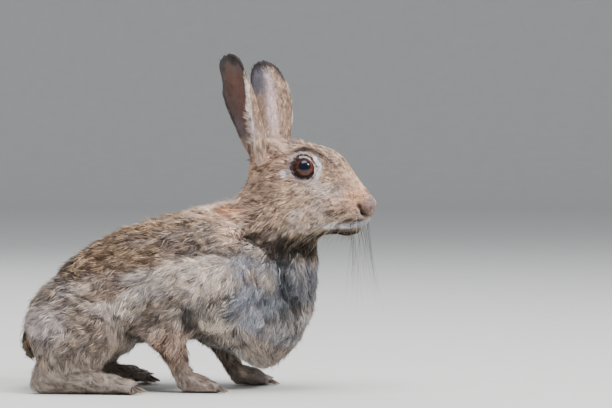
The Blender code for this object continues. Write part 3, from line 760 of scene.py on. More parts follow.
def coatMarkingsGroup(patchMask, ringMask):
    # the rabbit's markings by place: a colour, and how dark the tips of its hairs are
    group, source, sink = makeGroup(
        "coatMarkings",
        (("Place", "Vector", None), ("Head Place", "Vector", None)),
        (("Colour", "Color"), ("Ticking", "Float")),
    )
    wander = noise(group, source["Place"], 0.07, 2.0, 0.6)
    wander = mapped(group, wander, 0.25, 0.75, -0.22, 0.22, smooth=False)
    colour, ticking = linear(markings["base"][0]), markings["base"][1]
    onBody, onHead = split(group, source["Place"]), split(group, source["Head Place"])
    body, head = (combined(group, at[0], maths(group, "ABSOLUTE", at[1]), at[2]) for at in (onBody, onHead))
    masks = [
        (patchMask, name, body if table == "body" else head, {"Centre": centre, "Reach": reach}, look)
        for table in ("body", "head") for name, centre, reach, *look in markings[table]
    ]
    for name, distance, half, direction, spread, *look in markings["rings"]:
        angle = math.radians(direction)
        towards, least = (math.cos(angle), 0, math.sin(angle)), math.cos(math.radians(spread))
        values = {"Distance": distance, "Half Width": half, "Towards": towards, "Spread": least}
        masks.append((ringMask, name, head, values, look))
    for shape, name, place, values, (paint, tips, strength) in masks:
        links = {"Place": place, "Wander": wander, **values}
        mask = node(group, "Group", links, node_tree=shape, label=name).outputs["Mask"]
        share = times(group, mask, strength)
        colour = mixed(group, share, colour, linear(paint))
        ticking = mixedValue(group, share, ticking, tips)
    group.links.new(colour, sink["Colour"])
    group.links.new(ticking, sink["Ticking"])
    return group


strandSettings = {
    "root": (96, 88, 86),  # slate underfur
    "rootEnd": 0.34,  # where along the tuft the slate gives way to its marking
    "tip": (40, 27, 20),  # ticked tips
    "tipStart": 0.5,  # where along the tuft the dark tip begins
    "contrast": 0.54,  # how far tufts differ in brightness
    "deep": 0.24,  # brightness left by the painted shade in the hollows and between locks
    "pale": (236, 222, 212),  # paler tips: a painted highlight on the ridges, the chest locks' own pale tips
    "buff": (246, 206, 162),  # the pale band of the hairs
    "roughness": 0.72,
}


def strandGroup():
    # one tuft's own colour along its length, from its marking: slate root, marking, ticked tip; then the painted shade
    # and highlight of its place
    group, source, sink = makeGroup(
        "strandColour",
        (("Strand", "Vector", None), ("Marking", "Color", None), ("Ticking", "Float", 0.5), ("Shade", "Float", 0.0)),
        (("Colour", "Color"),),
    )
    along, lock, chance = split(group, source["Strand"])
    shade = maths(group, "ADD", times(group, lock, 0.6), times(group, chance, 0.4))
    other = maths(group, "FRACT", times(group, chance, 17.31))
    rootEnd, tipStart = strandSettings["rootEnd"], strandSettings["tipStart"]
    root = mapped(group, along, rootEnd, rootEnd - 0.3, 0.0, 0.75)
    colour = mixed(group, root, source["Marking"], linear(strandSettings["root"]))
    buff = times(group, mapped(group, shade, 0.42, 0.2, 0.0, 0.75), source["Ticking"])
    buff = times(group, buff, mapped(group, along, 0.25, 0.5))
    colour = mixed(group, buff, colour, linear(strandSettings["buff"]))
    ticked = times(group, mapped(group, shade, 0.5, 0.78), source["Ticking"])
    tip = mapped(group, along, tipStart - 0.25, tipStart + 0.25)
    colour = mixed(group, times(group, tip, ticked), colour, linear(strandSettings["tip"]))
    low, high = 1 - strandSettings["contrast"], 1 + strandSettings["contrast"]
    own = maths(group, "MULTIPLY_ADD", other, 0.45, times(group, lock, 0.55))
    level = mapped(group, own, 0.0, 1.0, high, low, smooth=False)
    # Shade below 0 paints a highlight on the ridges, above 0 paints shade in the hollows and lock gaps
    colour = mixed(group, mapped(group, source["Shade"], 0.0, -1.0, 0.0, 0.5), colour, linear(strandSettings["pale"]))
    level = times(group, level, mapped(group, source["Shade"], 0.0, 1.0, 1.0, strandSettings["deep"]))
    scaled = node(group, "VectorMath", {0: colour, "Scale": level}, operation="SCALE").outputs[0]
    group.links.new(scaled, sink["Colour"])
    return group


def attribute(tree, name, output="Vector"):
    return node(tree, "Attribute", attribute_name=name).outputs[output]


def newMaterial(name, **sockets):
    material = bpy.data.materials.new(name)
    material.use_nodes = True
    tree = material.node_tree
    shader = tree.nodes["Principled BSDF"]
    for label, value in sockets.items():
        shader.inputs[label.replace("_", " ")].default_value = value
    return material, tree, shader


def bump(tree, height, distance, strength):
    return node(tree, "Bump", {"Height": height, "Distance": distance, "Strength": strength}).outputs[0]


coatMarkings = coatMarkingsGroup(patchMaskGroup(), ringMaskGroup())
strandColour = strandGroup()


earColours = {
    "innerLow": (134, 118, 122),
    "innerGlow": (130, 84, 66),
    "innerFluff": (178, 170, 166),
    "innerRear": (100, 76, 66),
    "innerTip": (104, 84, 76),
    "outer": (164, 136, 120),
    "outerMiddle": (216, 190, 190),
    "outerFront": (158, 128, 110),
    "tip": (40, 34, 34),
    "tipGrey": (108, 104, 114),
    "paleEdge": (250, 236, 224),
    # near black: painted shade inside the nostrils and along the lip fold, on their bare skin
    "bare": (30, 22, 22),
}


def earTonesGroup():
    # the ears' own colours, by inner side, distance from the rim, height and how far ahead
    group, source, sink = makeGroup(
        "earTones",
        (
            ("Zones", "Vector", None), ("Ear Place", "Vector", None), ("Place", "Vector", None),
            ("Coat", "Color", None), ("Ticking", "Float", 0.5),
        ),
        (("Colour", "Color"), ("Ticking", "Float")),
    )
    paint = paints(earColours)
    inner, rim, bare = split(group, source["Zones"])
    height, ahead, _ = split(group, source["Ear Place"])
    wander = noise(group, source["Place"], 0.12, 3.0)
    high = maths(group, "ADD", height, mapped(group, wander, 0.3, 0.7, -0.05, 0.05))
    both = lambda first, second: times(group, first, second)
    onEar = mapped(group, rim, 50.0, 40.0)
    outer = mixed(group, mapped(group, maths(group, "ABSOLUTE", ahead), 7.0, 1.0), paint["outer"], paint["outerMiddle"])
    outer = mixed(group, mapped(group, ahead, 2.0, 7.0, 0.0, 0.9), outer, paint["outerFront"])
    outer = mixed(group, mapped(group, height, 0.32, 0.12), outer, paint["outerFront"])
    grey = both(mapped(group, high, 0.55, 0.75), mapped(group, ahead, 1.0, -4.0))
    outer = mixed(group, grey, outer, paint["tipGrey"])
    outer = mixed(group, mapped(group, high, 0.84, 0.95), outer, paint["tip"])
    inside = mixed(group, mapped(group, high, 0.3, 0.55), paint["innerLow"], paint["innerRear"])
    glow = both(mapped(group, ahead, -13.0, -3.0), mapped(group, high, 0.16, 0.36))
    inside = mixed(group, glow, inside, paint["innerGlow"])
    inside = mixed(group, mapped(group, high, 0.72, 0.9), inside, paint["innerTip"])
    inside = mixed(group, mapped(group, wander, 0.35, 0.65, 0.0, 0.3), inside, paint["innerLow"])
    inside = mixed(group, mapped(group, high, 0.24, 0.08), inside, paint["innerFluff"])
    colour = mixed(group, inner, outer, inside)
    pale = both(mapped(group, rim, 2.3, 1.2), mapped(group, ahead, 0.0, 3.0))
    pale = both(both(pale, mapped(group, height, 0.86, 0.78)), maths(group, "SUBTRACT", 1.0, inner))
    colour = mixed(group, pale, colour, paint["paleEdge"])
    dark = both(mapped(group, rim, 4.6, 1.4), mapped(group, high, 0.7, 0.82))
    rear = both(mapped(group, rim, 2.0, 0.4), mapped(group, ahead, -1.0, -4.0, 0.0, 0.8))
    colour = mixed(group, maths(group, "MAXIMUM", dark, rear), colour, paint["tip"])
    spread = maths(group, "ADD", height, mapped(group, wander, 0.3, 0.7, -0.06, 0.06))
    colour = mixed(group, both(onEar, mapped(group, spread, 0.1, 0.34)), source["Coat"], colour)
    # painted shade in the nostrils and the lip fold, on their bare skin
    colour = mixed(group, bare, colour, paint["bare"])
    plain = maths(group, "MAXIMUM", maths(group, "MAXIMUM", dark, grey), pale)
    plain = maths(group, "MAXIMUM", both(inner, onEar), plain)
    outerTicks = mixedValue(group, mapped(group, ahead, 0.0, 5.0), 0.35, 0.9)
    ticking = mixedValue(group, both(onEar, mapped(group, height, 0.1, 0.34)), source["Ticking"], outerTicks)
    ticking = both(ticking, maths(group, "SUBTRACT", 1.0, both(plain, onEar)))
    group.links.new(colour, sink["Colour"])
    group.links.new(ticking, sink["Ticking"])
    return group


earTones = earTonesGroup()


def coatColour(tree):
    # the coat's colour at a tuft or on the skin: markings by place, the ears' own, then each strand's
    place, strand = attribute(tree, "place"), attribute(tree, "strand")
    links = {"Place": place, "Head Place": attribute(tree, "headPlace")}
    marks = node(tree, "Group", links, node_tree=coatMarkings).outputs
    links = {"Zones": attribute(tree, "zones"), "Ear Place": attribute(tree, "earPlace"), "Place": place}
    links |= {"Coat": marks["Colour"], "Ticking": marks["Ticking"]}
    tones = node(tree, "Group", links, node_tree=earTones).outputs
    links = {"Strand": strand, "Marking": tones["Colour"], "Ticking": tones["Ticking"]}
    links["Shade"] = attribute(tree, "shade", "Fac")
    return node(tree, "Group", links, node_tree=strandColour).outputs["Colour"], place, strand


def skinMaterial():
    material, tree, shader = newMaterial("skinCoat", Roughness=0.75)
    colour, place, _ = coatColour(tree)
    grain = noise(tree, place, 1.4, 4.0, 0.6)
    colour = mixed(tree, mapped(tree, grain, 0.35, 0.65, 0.0, 0.35), colour, linear(strandSettings["root"]))
    rough = mapped(tree, grain, 0.3, 0.7, 0.65, 0.85)
    feed(tree, shader, Base_Color=colour, Normal=bump(tree, grain, 0.0006, 0.6), Roughness=rough)
    return material


def coatMaterial():
    roughness = strandSettings["roughness"]
    material, tree, shader = newMaterial("coatHair", Roughness=roughness, Specular_IOR_Level=0.15)
    colour, _, strand = coatColour(tree)
    streaks = noise(tree, vectorMaths(tree, "MULTIPLY", strand, (3.0, 40.0, 60.0)), 1.0, 2.0)
    feed(tree, shader, Base_Color=colour, Roughness=mapped(tree, streaks, 0.3, 0.7, roughness - 0.1, roughness + 0.12))
    return material


skinMesh.materials.append(skinMaterial())
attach(skin, "root")
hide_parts(*nodeNames)

# Floor, light and camera

stageSettings = {
    "paper": (0.70, 0.70, 0.68),
    "flat": 5.0,  # the floor is flat this far out, then sweeps up all round
    "wall": 1.5,
    "key": {"at": (1.25, -1.0, 1.6), "size": 0.7, "power": 46},
    "top": {"at": (-0.1, -0.3, 2.2), "size": 1.9, "power": 62},
    "back": {"at": (-0.9, 1.5, 1.3), "size": 1.2, "power": 14},
    "aim": (0, 0, 0.12),  # where the lamps point
    "sky": 0.42,
    "skyColour": (0.86, 0.9, 0.96, 1),
    "turns": 96,  # points round the floor
}
cameraSettings = {"aim": (0.0815, 0.0, 0.1406), "distance": 2.4, "rise": 1.5, "width": 0.4651, "sensor": 36}


def makeFloor():
    # a paper floor that sweeps up into a plain wall on every side
    flat, wall, count = (stageSettings[key] for key in ("flat", "wall", "turns"))
    bends = [math.radians(a) for a in range(5, 91, 5)]
    profile = [(0.0, 0.0), (1.0, 0.0), (flat, 0.0)]
    profile += [(flat + wall * math.sin(a), wall * (1 - math.cos(a))) for a in bends]
    turns = np.arange(count) * 2 * np.pi / count
    points = [(0.0, 0.0, 0.0)]
    for reach, height in profile[1:]:
        points += [(reach * math.cos(t), reach * math.sin(t), height) for t in turns]
    beside = [(k, (k + 1) % count) for k in range(count)]
    faces = [(0, 1 + k, 1 + n) for k, n in beside]
    for low in range(1, 1 + (len(profile) - 2) * count, count):
        high = low + count
        faces += [(low + k, high + k, high + n, low + n) for k, n in beside]
    mesh = bpy.data.meshes.new("floor")
    mesh.from_pydata(points, [], faces)
    mesh.shade_smooth()
    material, tree, shader = newMaterial("floorPaper", Roughness=0.85)
    grain = noise(tree, node(tree, "TexCoord").outputs["Object"], 30.0, 4.0)
    dark = [c * 0.97 for c in stageSettings["paper"]] + [1]
    tone = mixed(tree, mapped(tree, grain, 0.3, 0.7), dark, [*stageSettings["paper"], 1])
    feed(tree, shader, Base_Color=tone)
    floor = linkObject("floor", mesh, material)


def makeLights():
    for name in ("key", "top", "back"):
        settings = stageSettings[name]
        light = bpy.data.lights.new(name, "AREA")
        light.shape = "DISK"
        light.size = settings["size"]
        light.energy = settings["power"]
        lamp = linkObject(name + "Light", light)
        lamp.location = settings["at"]
        aim = Vector(stageSettings["aim"]) - lamp.location
        lamp.rotation_euler = aim.to_track_quat("-Z", "Y").to_euler()
    world = bpy.data.worlds.new("studio")
    world.use_nodes = True
    sky = world.node_tree.nodes["Background"]
    sky.inputs["Color"].default_value = stageSettings["skyColour"]
    sky.inputs["Strength"].default_value = stageSettings["sky"]
    bpy.context.scene.world = world


def makeCamera():
    camera = bpy.data.cameras.new("camera")
    camera.sensor_width = cameraSettings["sensor"]
    camera.lens = cameraSettings["sensor"] * cameraSettings["distance"] / cameraSettings["width"]
    made = linkObject("camera", camera)
    rise = math.radians(cameraSettings["rise"])
    back = Vector((0, -math.cos(rise), math.sin(rise)))
    made.location = Vector(cameraSettings["aim"]) + back * cameraSettings["distance"]
    made.rotation_euler = (-back).to_track_quat("-Z", "Y").to_euler()
    bpy.context.scene.camera = made


makeFloor()
makeLights()
makeCamera()
print("floor, lights and camera made")

# Eyes: a ball with a raised cornea, and a dark rim along the lids


def sweep(path, radii, sides, closed):
    # a round tube along a path, as points and triangles
    path = np.asarray(path, float)
    count = len(path)
    ahead = np.roll(path, -1, 0) - np.roll(path, 1, 0)
    if not closed:
        ahead[0], ahead[-1] = path[1] - path[0], path[-1] - path[-2]
    ahead = unit(ahead)
    helper = np.where(np.abs(ahead[:, 2:]) > 0.9, np.array((1.0, 0, 0)), up)
    across = unit(np.cross(ahead, helper))
    other = np.cross(ahead, across)
    turn = np.arange(sides) * 2 * np.pi / sides
    ring = across[:, None] * np.cos(turn)[None, :, None] + other[:, None] * np.sin(turn)[None, :, None]
    points = (path[:, None] + ring * np.asarray(radii, float)[:, None, None]).reshape(-1, 3)
    index = np.arange(count * sides).reshape(count, sides)
    here, there = (index, np.roll(index, -1, 0)) if closed else (index[:-1], index[1:])
    a, b = here.ravel(), np.roll(here, -1, 1).ravel()
    c, d = there.ravel(), np.roll(there, -1, 1).ravel()
    faces = np.concatenate((np.stack((a, b, d), 1), np.stack((a, d, c), 1)))
    if not closed:
        ends = [[index[0][0], index[0][k + 1], index[0][k]] for k in range(1, sides - 1)]
        ends += [[index[-1][0], index[-1][k], index[-1][k + 1]] for k in range(1, sides - 1)]
        faces = np.concatenate((faces, np.array(ends)))
    return points, faces


eyeColours = {
    "irisLight": (124, 58, 36),
    "irisDark": (50, 30, 24),
    "limbus": (26, 14, 12),
    "pupil": (2, 14, 30),
    "rimDark": (38, 28, 26),
    "rimPale": (84, 64, 60),
}


def eyeMaterial():
    material, tree, shader = newMaterial(
        "eye", Roughness=0.3, Coat_Weight=1.0, Coat_Roughness=0.02, Coat_IOR=1.42, IOR=1.1
    )
    paint, pupil, iris = paints(eyeColours), eyeSettings["pupil"], eyeSettings["iris"]
    tilt, turn, _ = split(tree, attribute(tree, "eyePlace"))  # degrees from the middle of the eye, and round it
    rays = combined(tree, maths(tree, "COSINE", turn), maths(tree, "SINE", turn), times(tree, tilt, 0.012))
    fibres = noise(tree, rays, 13.0, 5.0, 0.7)
    cloud = noise(tree, rays, 2.2, 2.0)
    brown = mixed(tree, mapped(tree, fibres, 0.3, 0.72), paint["irisDark"], paint["irisLight"])
    brown = mixed(tree, mapped(tree, cloud, 0.35, 0.65, 0.0, 0.5), brown, paint["irisDark"])
    brown = mixed(tree, mapped(tree, tilt, pupil + 11, pupil - 1, 0.0, 0.6), brown, paint["irisDark"])
    brown = mixed(tree, mapped(tree, tilt, iris - 4, iris + 3), brown, paint["limbus"])
    wavy = maths(tree, "ADD", tilt, mapped(tree, fibres, 0.3, 0.7, -0.9, 0.9, smooth=False))
    colour = mixed(tree, mapped(tree, wavy, pupil + 1.6, pupil - 1.6), brown, paint["pupil"])
    feed(tree, shader, Base_Color=colour, Normal=bump(tree, fibres, 0.0002, 0.3))
    return material


def rimMaterial():
    material, tree, shader = newMaterial("lidRim", Roughness=0.35)
    grain = noise(tree, attribute(tree, "place"), 1.2)
    paint = paints(eyeColours)
    tone = mixed(tree, mapped(tree, grain, 0.35, 0.65), paint["rimDark"], paint["rimPale"])
    feed(tree, shader, Base_Color=tone, Normal=bump(tree, grain, 0.0003, 0.5))
    return material


def spokes(turn, ahead, above):
    # directions square to the eye's axis, at these angles round it
    return ahead * np.cos(turn)[:, None] + above * np.sin(turn)[:, None]


def eyeballMesh(side):
    axis, count = eyeAxis(side), eyeSettings["turns"]
    _, _, ahead, above = eyeAngles(np.zeros((1, 3)), side)
    tilt = np.radians(np.concatenate((np.linspace(0, 66, 45), np.linspace(70, 180, 24))))
    turn = np.arange(count) * 2 * np.pi / count
    reach = eyeRadius + eyeSettings["cornea"] * (1 - ease(np.degrees(tilt), 20, 52))
    rings = axis * np.cos(tilt)[1:-1, None, None] + spokes(turn, ahead, above)[None] * np.sin(tilt)[1:-1, None, None]
    rings = (eyeCentre[side] + rings * reach[1:-1, None, None]).reshape(-1, 3)
    points = np.vstack((rings, eyeCentre[side] + axis * reach[0], eyeCentre[side] - axis * reach[-1]))
    index = np.arange(len(rings)).reshape(-1, count)
    following = np.roll(index, -1, 1)
    a, b, c, d = (ring.ravel() for ring in (index[:-1], following[:-1], index[1:], following[1:]))
    front, back = np.full(count, len(rings)), np.full(count, len(rings) + 1)
    corners = ((a, c, d), (a, d, b), (front, index[0], following[0]), (back, following[-1], index[-1]))
    faces = np.concatenate([np.stack(three, 1) for three in corners])
    if np.cross(ahead, above) @ axis < 0:
        faces = faces[:, ::-1]
    mesh = newMesh("eyeball_" + side, points, faces)
    gaze = unit(axis + ahead * eyeSettings["gaze"][0] + above * eyeSettings["gaze"][1])
    away = unit(points - eyeCentre[side])
    angles = np.degrees(np.arccos(np.clip(away @ gaze, -1, 1)))
    around = np.arctan2(away @ above, away @ ahead)
    addAttribute(mesh, "eyePlace", np.stack((angles, around, np.zeros(len(points))), axis=1))
    return mesh


def rimMesh(side):
    # a thin tube along the edge of the lids
    axis = eyeAxis(side)
    _, _, ahead, above = eyeAngles(np.zeros((1, 3)), side)
    degrees = np.arange(0, 360, 5.0)
    opening = np.radians(lidOpening((degrees + 180) % 360 - 180) + 0.5)
    path = axis * np.cos(opening)[:, None] + spokes(np.radians(degrees), ahead, above) * np.sin(opening)[:, None]
    path = eyeCentre[side] + path * (eyeRadius + eyeSettings["rimLift"])
    points, faces = sweep(path, np.full(len(path), eyeSettings["rim"]), 8, True)
    mesh = newMesh("lidRim_" + side, points, faces)
    addAttribute(mesh, "place", points)
    return mesh


def makeEyes():
    ballLook, rimLook = eyeMaterial(), rimMaterial()
    for side in ("left", "right"):
        ball = linkObject("eyeball_" + side, eyeballMesh(side), ballLook)
        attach(ball, "root")
        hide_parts("eye_" + side)
        rim = linkObject("lidRim_" + side, rimMesh(side), rimLook)
        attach(rim, "root")


makeEyes()
print("eyes made")

# Fur: joined tufts that grow from the skin, follow the lie of the coat and lie along the body

# The lie of the coat on the right side, mirrored to the left: place (x, y, z) and the way the hairs point
bodyLie = (
    ((28, 0, 158), (-0.8, 0, -0.6)), ((0, 0, 138), (-0.95, 0, -0.3)), ((-50, 0, 124), (-0.95, 0, -0.3)),
    ((-90, 0, 104), (-0.85, 0, -0.55)), ((-118, 0, 72), (-0.45, 0, -0.9)), ((-130, 0, 45), (-0.2, 0, -1)),
    ((15, -36, 108), (-0.8, 0, -0.55)), ((-20, -45, 98), (-0.95, 0, -0.3)), ((-50, -48, 90), (-0.92, 0, -0.38)),
    ((-80, -48, 84), (-0.88, 0, -0.5)), ((-104, -46, 66), (-0.75, 0, -0.7)), ((-82, -60, 48), (-0.85, 0, -0.5)),
    ((-62, -58, 32), (-0.7, 0, -0.7)), ((-118, -40, 40), (-0.35, 0, -0.95)), ((-30, -47, 62), (-0.9, 0, -0.4)),
    ((-40, -25, 30), (-0.95, 0, -0.2)), ((0, -15, 28), (-0.95, 0, -0.3)), ((90, 0, 80), (-0.05, 0, -1)),
    ((88, 0, 104), (-0.15, 0, -1)), ((76, 0, 44), (-0.35, 0, -0.95)), ((70, -32, 80), (-0.3, 0, -0.95)),
    ((72, -28, 112), (-0.55, 0, -0.85)), ((45, -38, 85), (-0.5, 0, -0.88)), ((20, -44, 75), (-0.55, 0, -0.85)),
    ((-8, -46, 55), (-0.5, 0, -0.88)), ((-14, -40, 30), (0.15, 0, -1)), ((28, -40, 30), (0.1, 0, -1)),
    ((2, -36, 8), (0.95, 0, -0.3)), ((46, -36, 8), (0.95, 0, -0.3)), ((-60, -48, 14), (0.95, 0, -0.25)),
    ((-100, -46, 14), (0.9, 0, -0.3)), ((-124, 0, 40), (-0.45, 0, -0.9)), ((45, -30, 128), (-0.85, 0, -0.5)),
    ((80, -15, 118), (-0.8, 0, -0.6)), ((88, 0, 116), (-0.75, 0, -0.65)),
)
headLie = (
    ((54, 0, -26), (-0.6, 0, 0.8)), ((40, 0, -8), (-0.8, 0, 0.6)), ((20, 0, 12), (-0.9, 0, 0.4)),
    ((-5, 0, 20), (-1, 0, 0.05)), ((-28, 0, 16), (-0.9, 0, -0.4)), ((48, -10, -34), (-0.75, -0.5, -0.3)),
    ((36, -14, -26), (-0.98, -0.1, 0.05)), ((10, -24, -28), (-0.97, 0, -0.2)), ((-20, -26, -26), (-0.9, 0, -0.45)),
    ((14, -14, -48), (-0.92, 0, -0.35)), ((44, -5, -46), (-0.85, 0, -0.5)), ((-20, -22, 2), (-0.97, 0, -0.2)),
    ((5, -17, 14), (-0.95, 0, 0.3)), ((0, -22, -16), (-0.97, 0, -0.15)), ((-12, -16, 18), (-0.9, -0.1, 0.2)),
)

furSettings = {
    "lieReach": (17.0, 10.0),  # how far each named direction carries on the body and the head
    # locks: how far apart, how stretched along the lie, how far tufts gather into them, how deep the gaps between them
    # are and how dark they are painted as shade, how far each turns, and the spacing of the smaller flecks
    "lock": {"spacing": 8.5, "stretch": 0.6, "gather": 0.4, "gap": 0.62, "turn": 13, "fleck": 2.1},
    "headLock": {"spacing": 3.2, "stretch": 0.5, "gather": 0.25, "gap": 0.34, "turn": 8, "fleck": 1.9},
    "earLock": {"spacing": 3.0, "stretch": 0.4, "gather": 0.15, "gap": 0.05, "turn": 4, "fleck": 1.7},
    "guard": (0.05, 1.25, 1.7),  # share of longer, prouder hairs, and how much longer and higher
    "sway": 26,  # wavelength of the coat's slow turns from its lie
    "lift": (0.84, 0.16),  # how high tips stand, as a share of the coat's depth: middle and spread
    "liftLimits": (0.22, 1.4),
    "lowest": 0.5,  # how far all tufts stay above the floor
    "sink": 0.7,  # how deep roots lie in the skin
    "perPiece": 185000,  # triangles
    "patch": 0.003,  # width of each tuft's patch on the bake map
    "softLight": 0.65,  # how far tufts take the light of the whole coat instead of their own
    "mottle": (11.0, 0.26),  # wandering darker and paler places in the coat: wavelength and strength
    "ripple": (13.0, 0.22),  # the coat's relief: wavelength and share of its depth
}


def lieField(points):
    direction = np.zeros_like(points)
    bodyReach, headReach = furSettings["lieReach"]
    for lies, own, reach in ((bodyLie, points, bodyReach), (headLie, inHead(points), headReach)):
        for place, way in lies:
            for sign in (1, -1) if place[1] else (1,):
                at = np.array((place[0], place[1] * sign, place[2]), float)
                lie = unit(np.array((way[0], way[1] * sign, way[2]), float))
                if lies is headLie:
                    lie = headAhead * lie[0] + headSide * lie[1] + up * lie[2]
                near = np.exp(-((own - at) ** 2).sum(1) / (2 * reach * reach))
                direction += lie * near[:, None]
    return unit(direction + np.array((-1e-6, 0, -1e-6)))


def waves(points, size, seed=3):
    # smooth wandering values between about -1 and 1
    own, count = np.random.default_rng(seed), 7
    total = np.zeros(len(points))
    for _ in range(count):
        way = unit(own.normal(size=3)) / size * own.uniform(0.6, 1.6) * 2 * np.pi
        total += np.sin(points @ way + own.uniform(0, 6.28))
    return total / count ** 0.5


def turned(vectors, axes, degrees):
    # turns each vector about its axis, which it is square to
    angle = np.radians(degrees)[:, None]
    return vectors * np.cos(angle) + np.cross(axes, vectors) * np.sin(angle)


def nearestOnSkin(points):
    hits, faces = np.empty_like(points), np.empty(len(points), int)
    for i, p in enumerate(points):
        place, _, face, _ = skinTree.find_nearest(Vector(p))
        hits[i] = place
        faces[i] = face
    return hits, faces


def growRoots(faces, perFace):
    # roots spread at random over the chosen faces
    a, b, c = (places[triangles[faces, k]] for k in range(3))
    area = np.linalg.norm(np.cross(b - a, c - a), axis=1) / 2
    share = area * perFace
    number = int(round(share.sum()))
    chosen = dice.choice(len(faces), number, p=share / share.sum())
    u, v = dice.random(number), dice.random(number)
    flip = u + v > 1
    u, v = np.where(flip, 1 - u, u), np.where(flip, 1 - v, v)
    weights = np.stack((1 - u - v, u, v), axis=1)
    return faces[chosen], weights


def carried(values, face, weights):
    picked = values[triangles[face]]
    if values.ndim == 1:
        return (picked * weights).sum(1)
    return (picked * weights[:, :, None]).sum(1)


def unwrapped(faces):
    # an unwrap of these faces of the skin, by its own shape
    used, local = np.unique(triangles[faces], return_inverse=True)
    mesh = newMesh("unwrap", places[used], local.reshape(-1, 3))
    flat = linkObject("unwrap", mesh)
    bpy.context.view_layer.objects.active = flat
    flat.select_set(True)
    bpy.ops.object.mode_set(mode="EDIT")
    bpy.ops.mesh.select_all(action="SELECT")
    bpy.ops.uv.smart_project(angle_limit=math.radians(66), island_margin=0.004)
    bpy.ops.object.mode_set(mode="OBJECT")
    uv = np.empty(len(mesh.loops) * 2, np.float32)
    mesh.uv_layers[0].data.foreach_get("uv", uv)
    bpy.data.objects.remove(flat)
    return uv.reshape(-1, 3, 2)


def tuftsPerFace(settings, faces, faceLabel):
    # how many tufts to each square millimetre of these faces
    region, centre = settings["region"], places[triangles[faces]].mean(1)
    faceZones = zones[triangles[faces]].mean(1)
    perFace = coatValue(faceLabel[faces], "count") * settings.get("share", 1.0)
    if region == "head":
        perFace = perFace * (1 + 0.5 * ease(inHead(centre)[:, 0], 10, 45))
    under = vertexNormals(places, triangles)[triangles[faces]].mean(1)[:, 2] < -0.5
    perFace = perFace * np.where(under & (centre[:, 2] < 60), 0.5, 1.0)
    perFace = perFace * (faceZones[:, 2] < 0.35) * np.where(faceZones[:, 0] > 0.5, settings.get("inner", 1.0), 1.0)
    if region == "fringe":
        height, ahead = earPlace[triangles[faces]].mean(1)[:, :2].T
        edge = (faceZones[:, 1] < 2.2) & (ahead > 0.5) & (height > 0.12) & (height < 0.8)
        perFace = edge * settings["count"]
    for side in eyeCentre:
        tilt, around = eyeAngles(centre, side)[:2]
        bald = (np.linalg.norm(centre - eyeCentre[side], axis=1) < 13) & (tilt < lidOpening(around) + 3.5)
        perFace = perFace * ~bald
    return perFace


def tuftLie(region, root, normal, rootLabel):
    # which way each tuft lies along the skin
    lie = lieField(root)
    if region in ("ears", "fringe"):
        for name in ears:
            ear = places[onNodes(label, name)]
            top = ear[ear[:, 2] > ear[:, 2].max() - 6].mean(0)
            foot = ear[ear[:, 2] < ear[:, 2].min() + 12].mean(0)
            lie[onNodes(rootLabel, name)] = unit(top - foot)
    if region == "fringe":  # these lean back over the ear's opening
        lie = unit(lie * 0.75 - headAhead * 0.65)
    for side in eyeCentre:  # hairs part round the eyes
        away = root - eyeCentre[side]
        reach = np.linalg.norm(away, axis=1)
        inward = -(lie * unit(away)).sum(1)
        near = np.exp(-np.maximum(reach - 9.5, 0) / 4.5) * (reach < 40)
        lie = lie + unit(away) * (np.maximum(inward + 0.35, 0) * near)[:, None]
    return unit(lie - normal * (lie * normal).sum(1)[:, None])


def tuftSizes(settings, root, rootLabel, lift, height):
    # length, width and lift of each tuft
    region = settings["region"]
    long = coatValue(rootLabel, "length") * settings.get("long", 1.0)
    width = coatValue(rootLabel, "width") * settings.get("wide", 1.0)
    if region in ("ears", "fringe"):
        low = 1 - ease(height, 0.02, 0.32)
        long, lift = long * (1 + 1.3 * low) * (1 - 0.55 * ease(height, 0.9, 0.98)), lift + 1.6 * low
        if region == "fringe":
            short, full = settings["length"]
            long, lift = short + (full - short) * ease(height, 0.66, 0.4), lift + 0.8
    else:
        fullness = lift / np.maximum(coatValue(rootLabel, "depth"), 0.1)
        long = long * (0.55 + 0.45 * np.clip(fullness, 0, 1))
    if region == "head":
        small = 1 - 0.55 * ease(inHead(root)[:, 0], -10, 42)
        for side in eyeCentre:
            small *= 1 - 0.35 * np.exp(-np.maximum(np.linalg.norm(root - eyeCentre[side], axis=1) - 9, 0) / 4)
        long, width = long * small, width * (0.45 + 0.55 * small)
    return long * dice.uniform(0.7, 1.3, len(root)), width * dice.uniform(0.65, 1.35, len(root)), lift


def locksOf(root, lie, spacing, stretch, area):
    # the lock each tuft belongs to, and how near it is to the gap beside the next lock (0 to 1)
    middles, nearest, gap = [], np.empty(len(root), int), np.empty(len(root))
    steep = np.abs(lie[:, 2]) > np.abs(lie[:, 0])
    for mine, scale in ((np.nonzero(~steep)[0], (stretch, 1, 1)), (np.nonzero(steep)[0], (1, 1, stretch))):
        if not len(mine):
            continue
        flat = root[mine] * np.array(scale)
        count = max(4, int(area * len(mine) / len(root) * stretch / spacing ** 2))
        chosen = dice.choice(len(mine), min(count, len(mine)), replace=False)
        finder = KDTree(len(chosen))
        for i, m in enumerate(chosen):
            finder.insert(Vector(flat[m]), i + len(middles))
        finder.balance()
        middles += mine[chosen].tolist()
        for i, p in zip(mine, flat):
            (_, own, near), (_, _, far) = finder.find_n(Vector(p), 2)
            nearest[i], gap[i] = own, 1 - min((far - near) / (0.7 * spacing), 1)
    return np.array(middles), nearest, gap


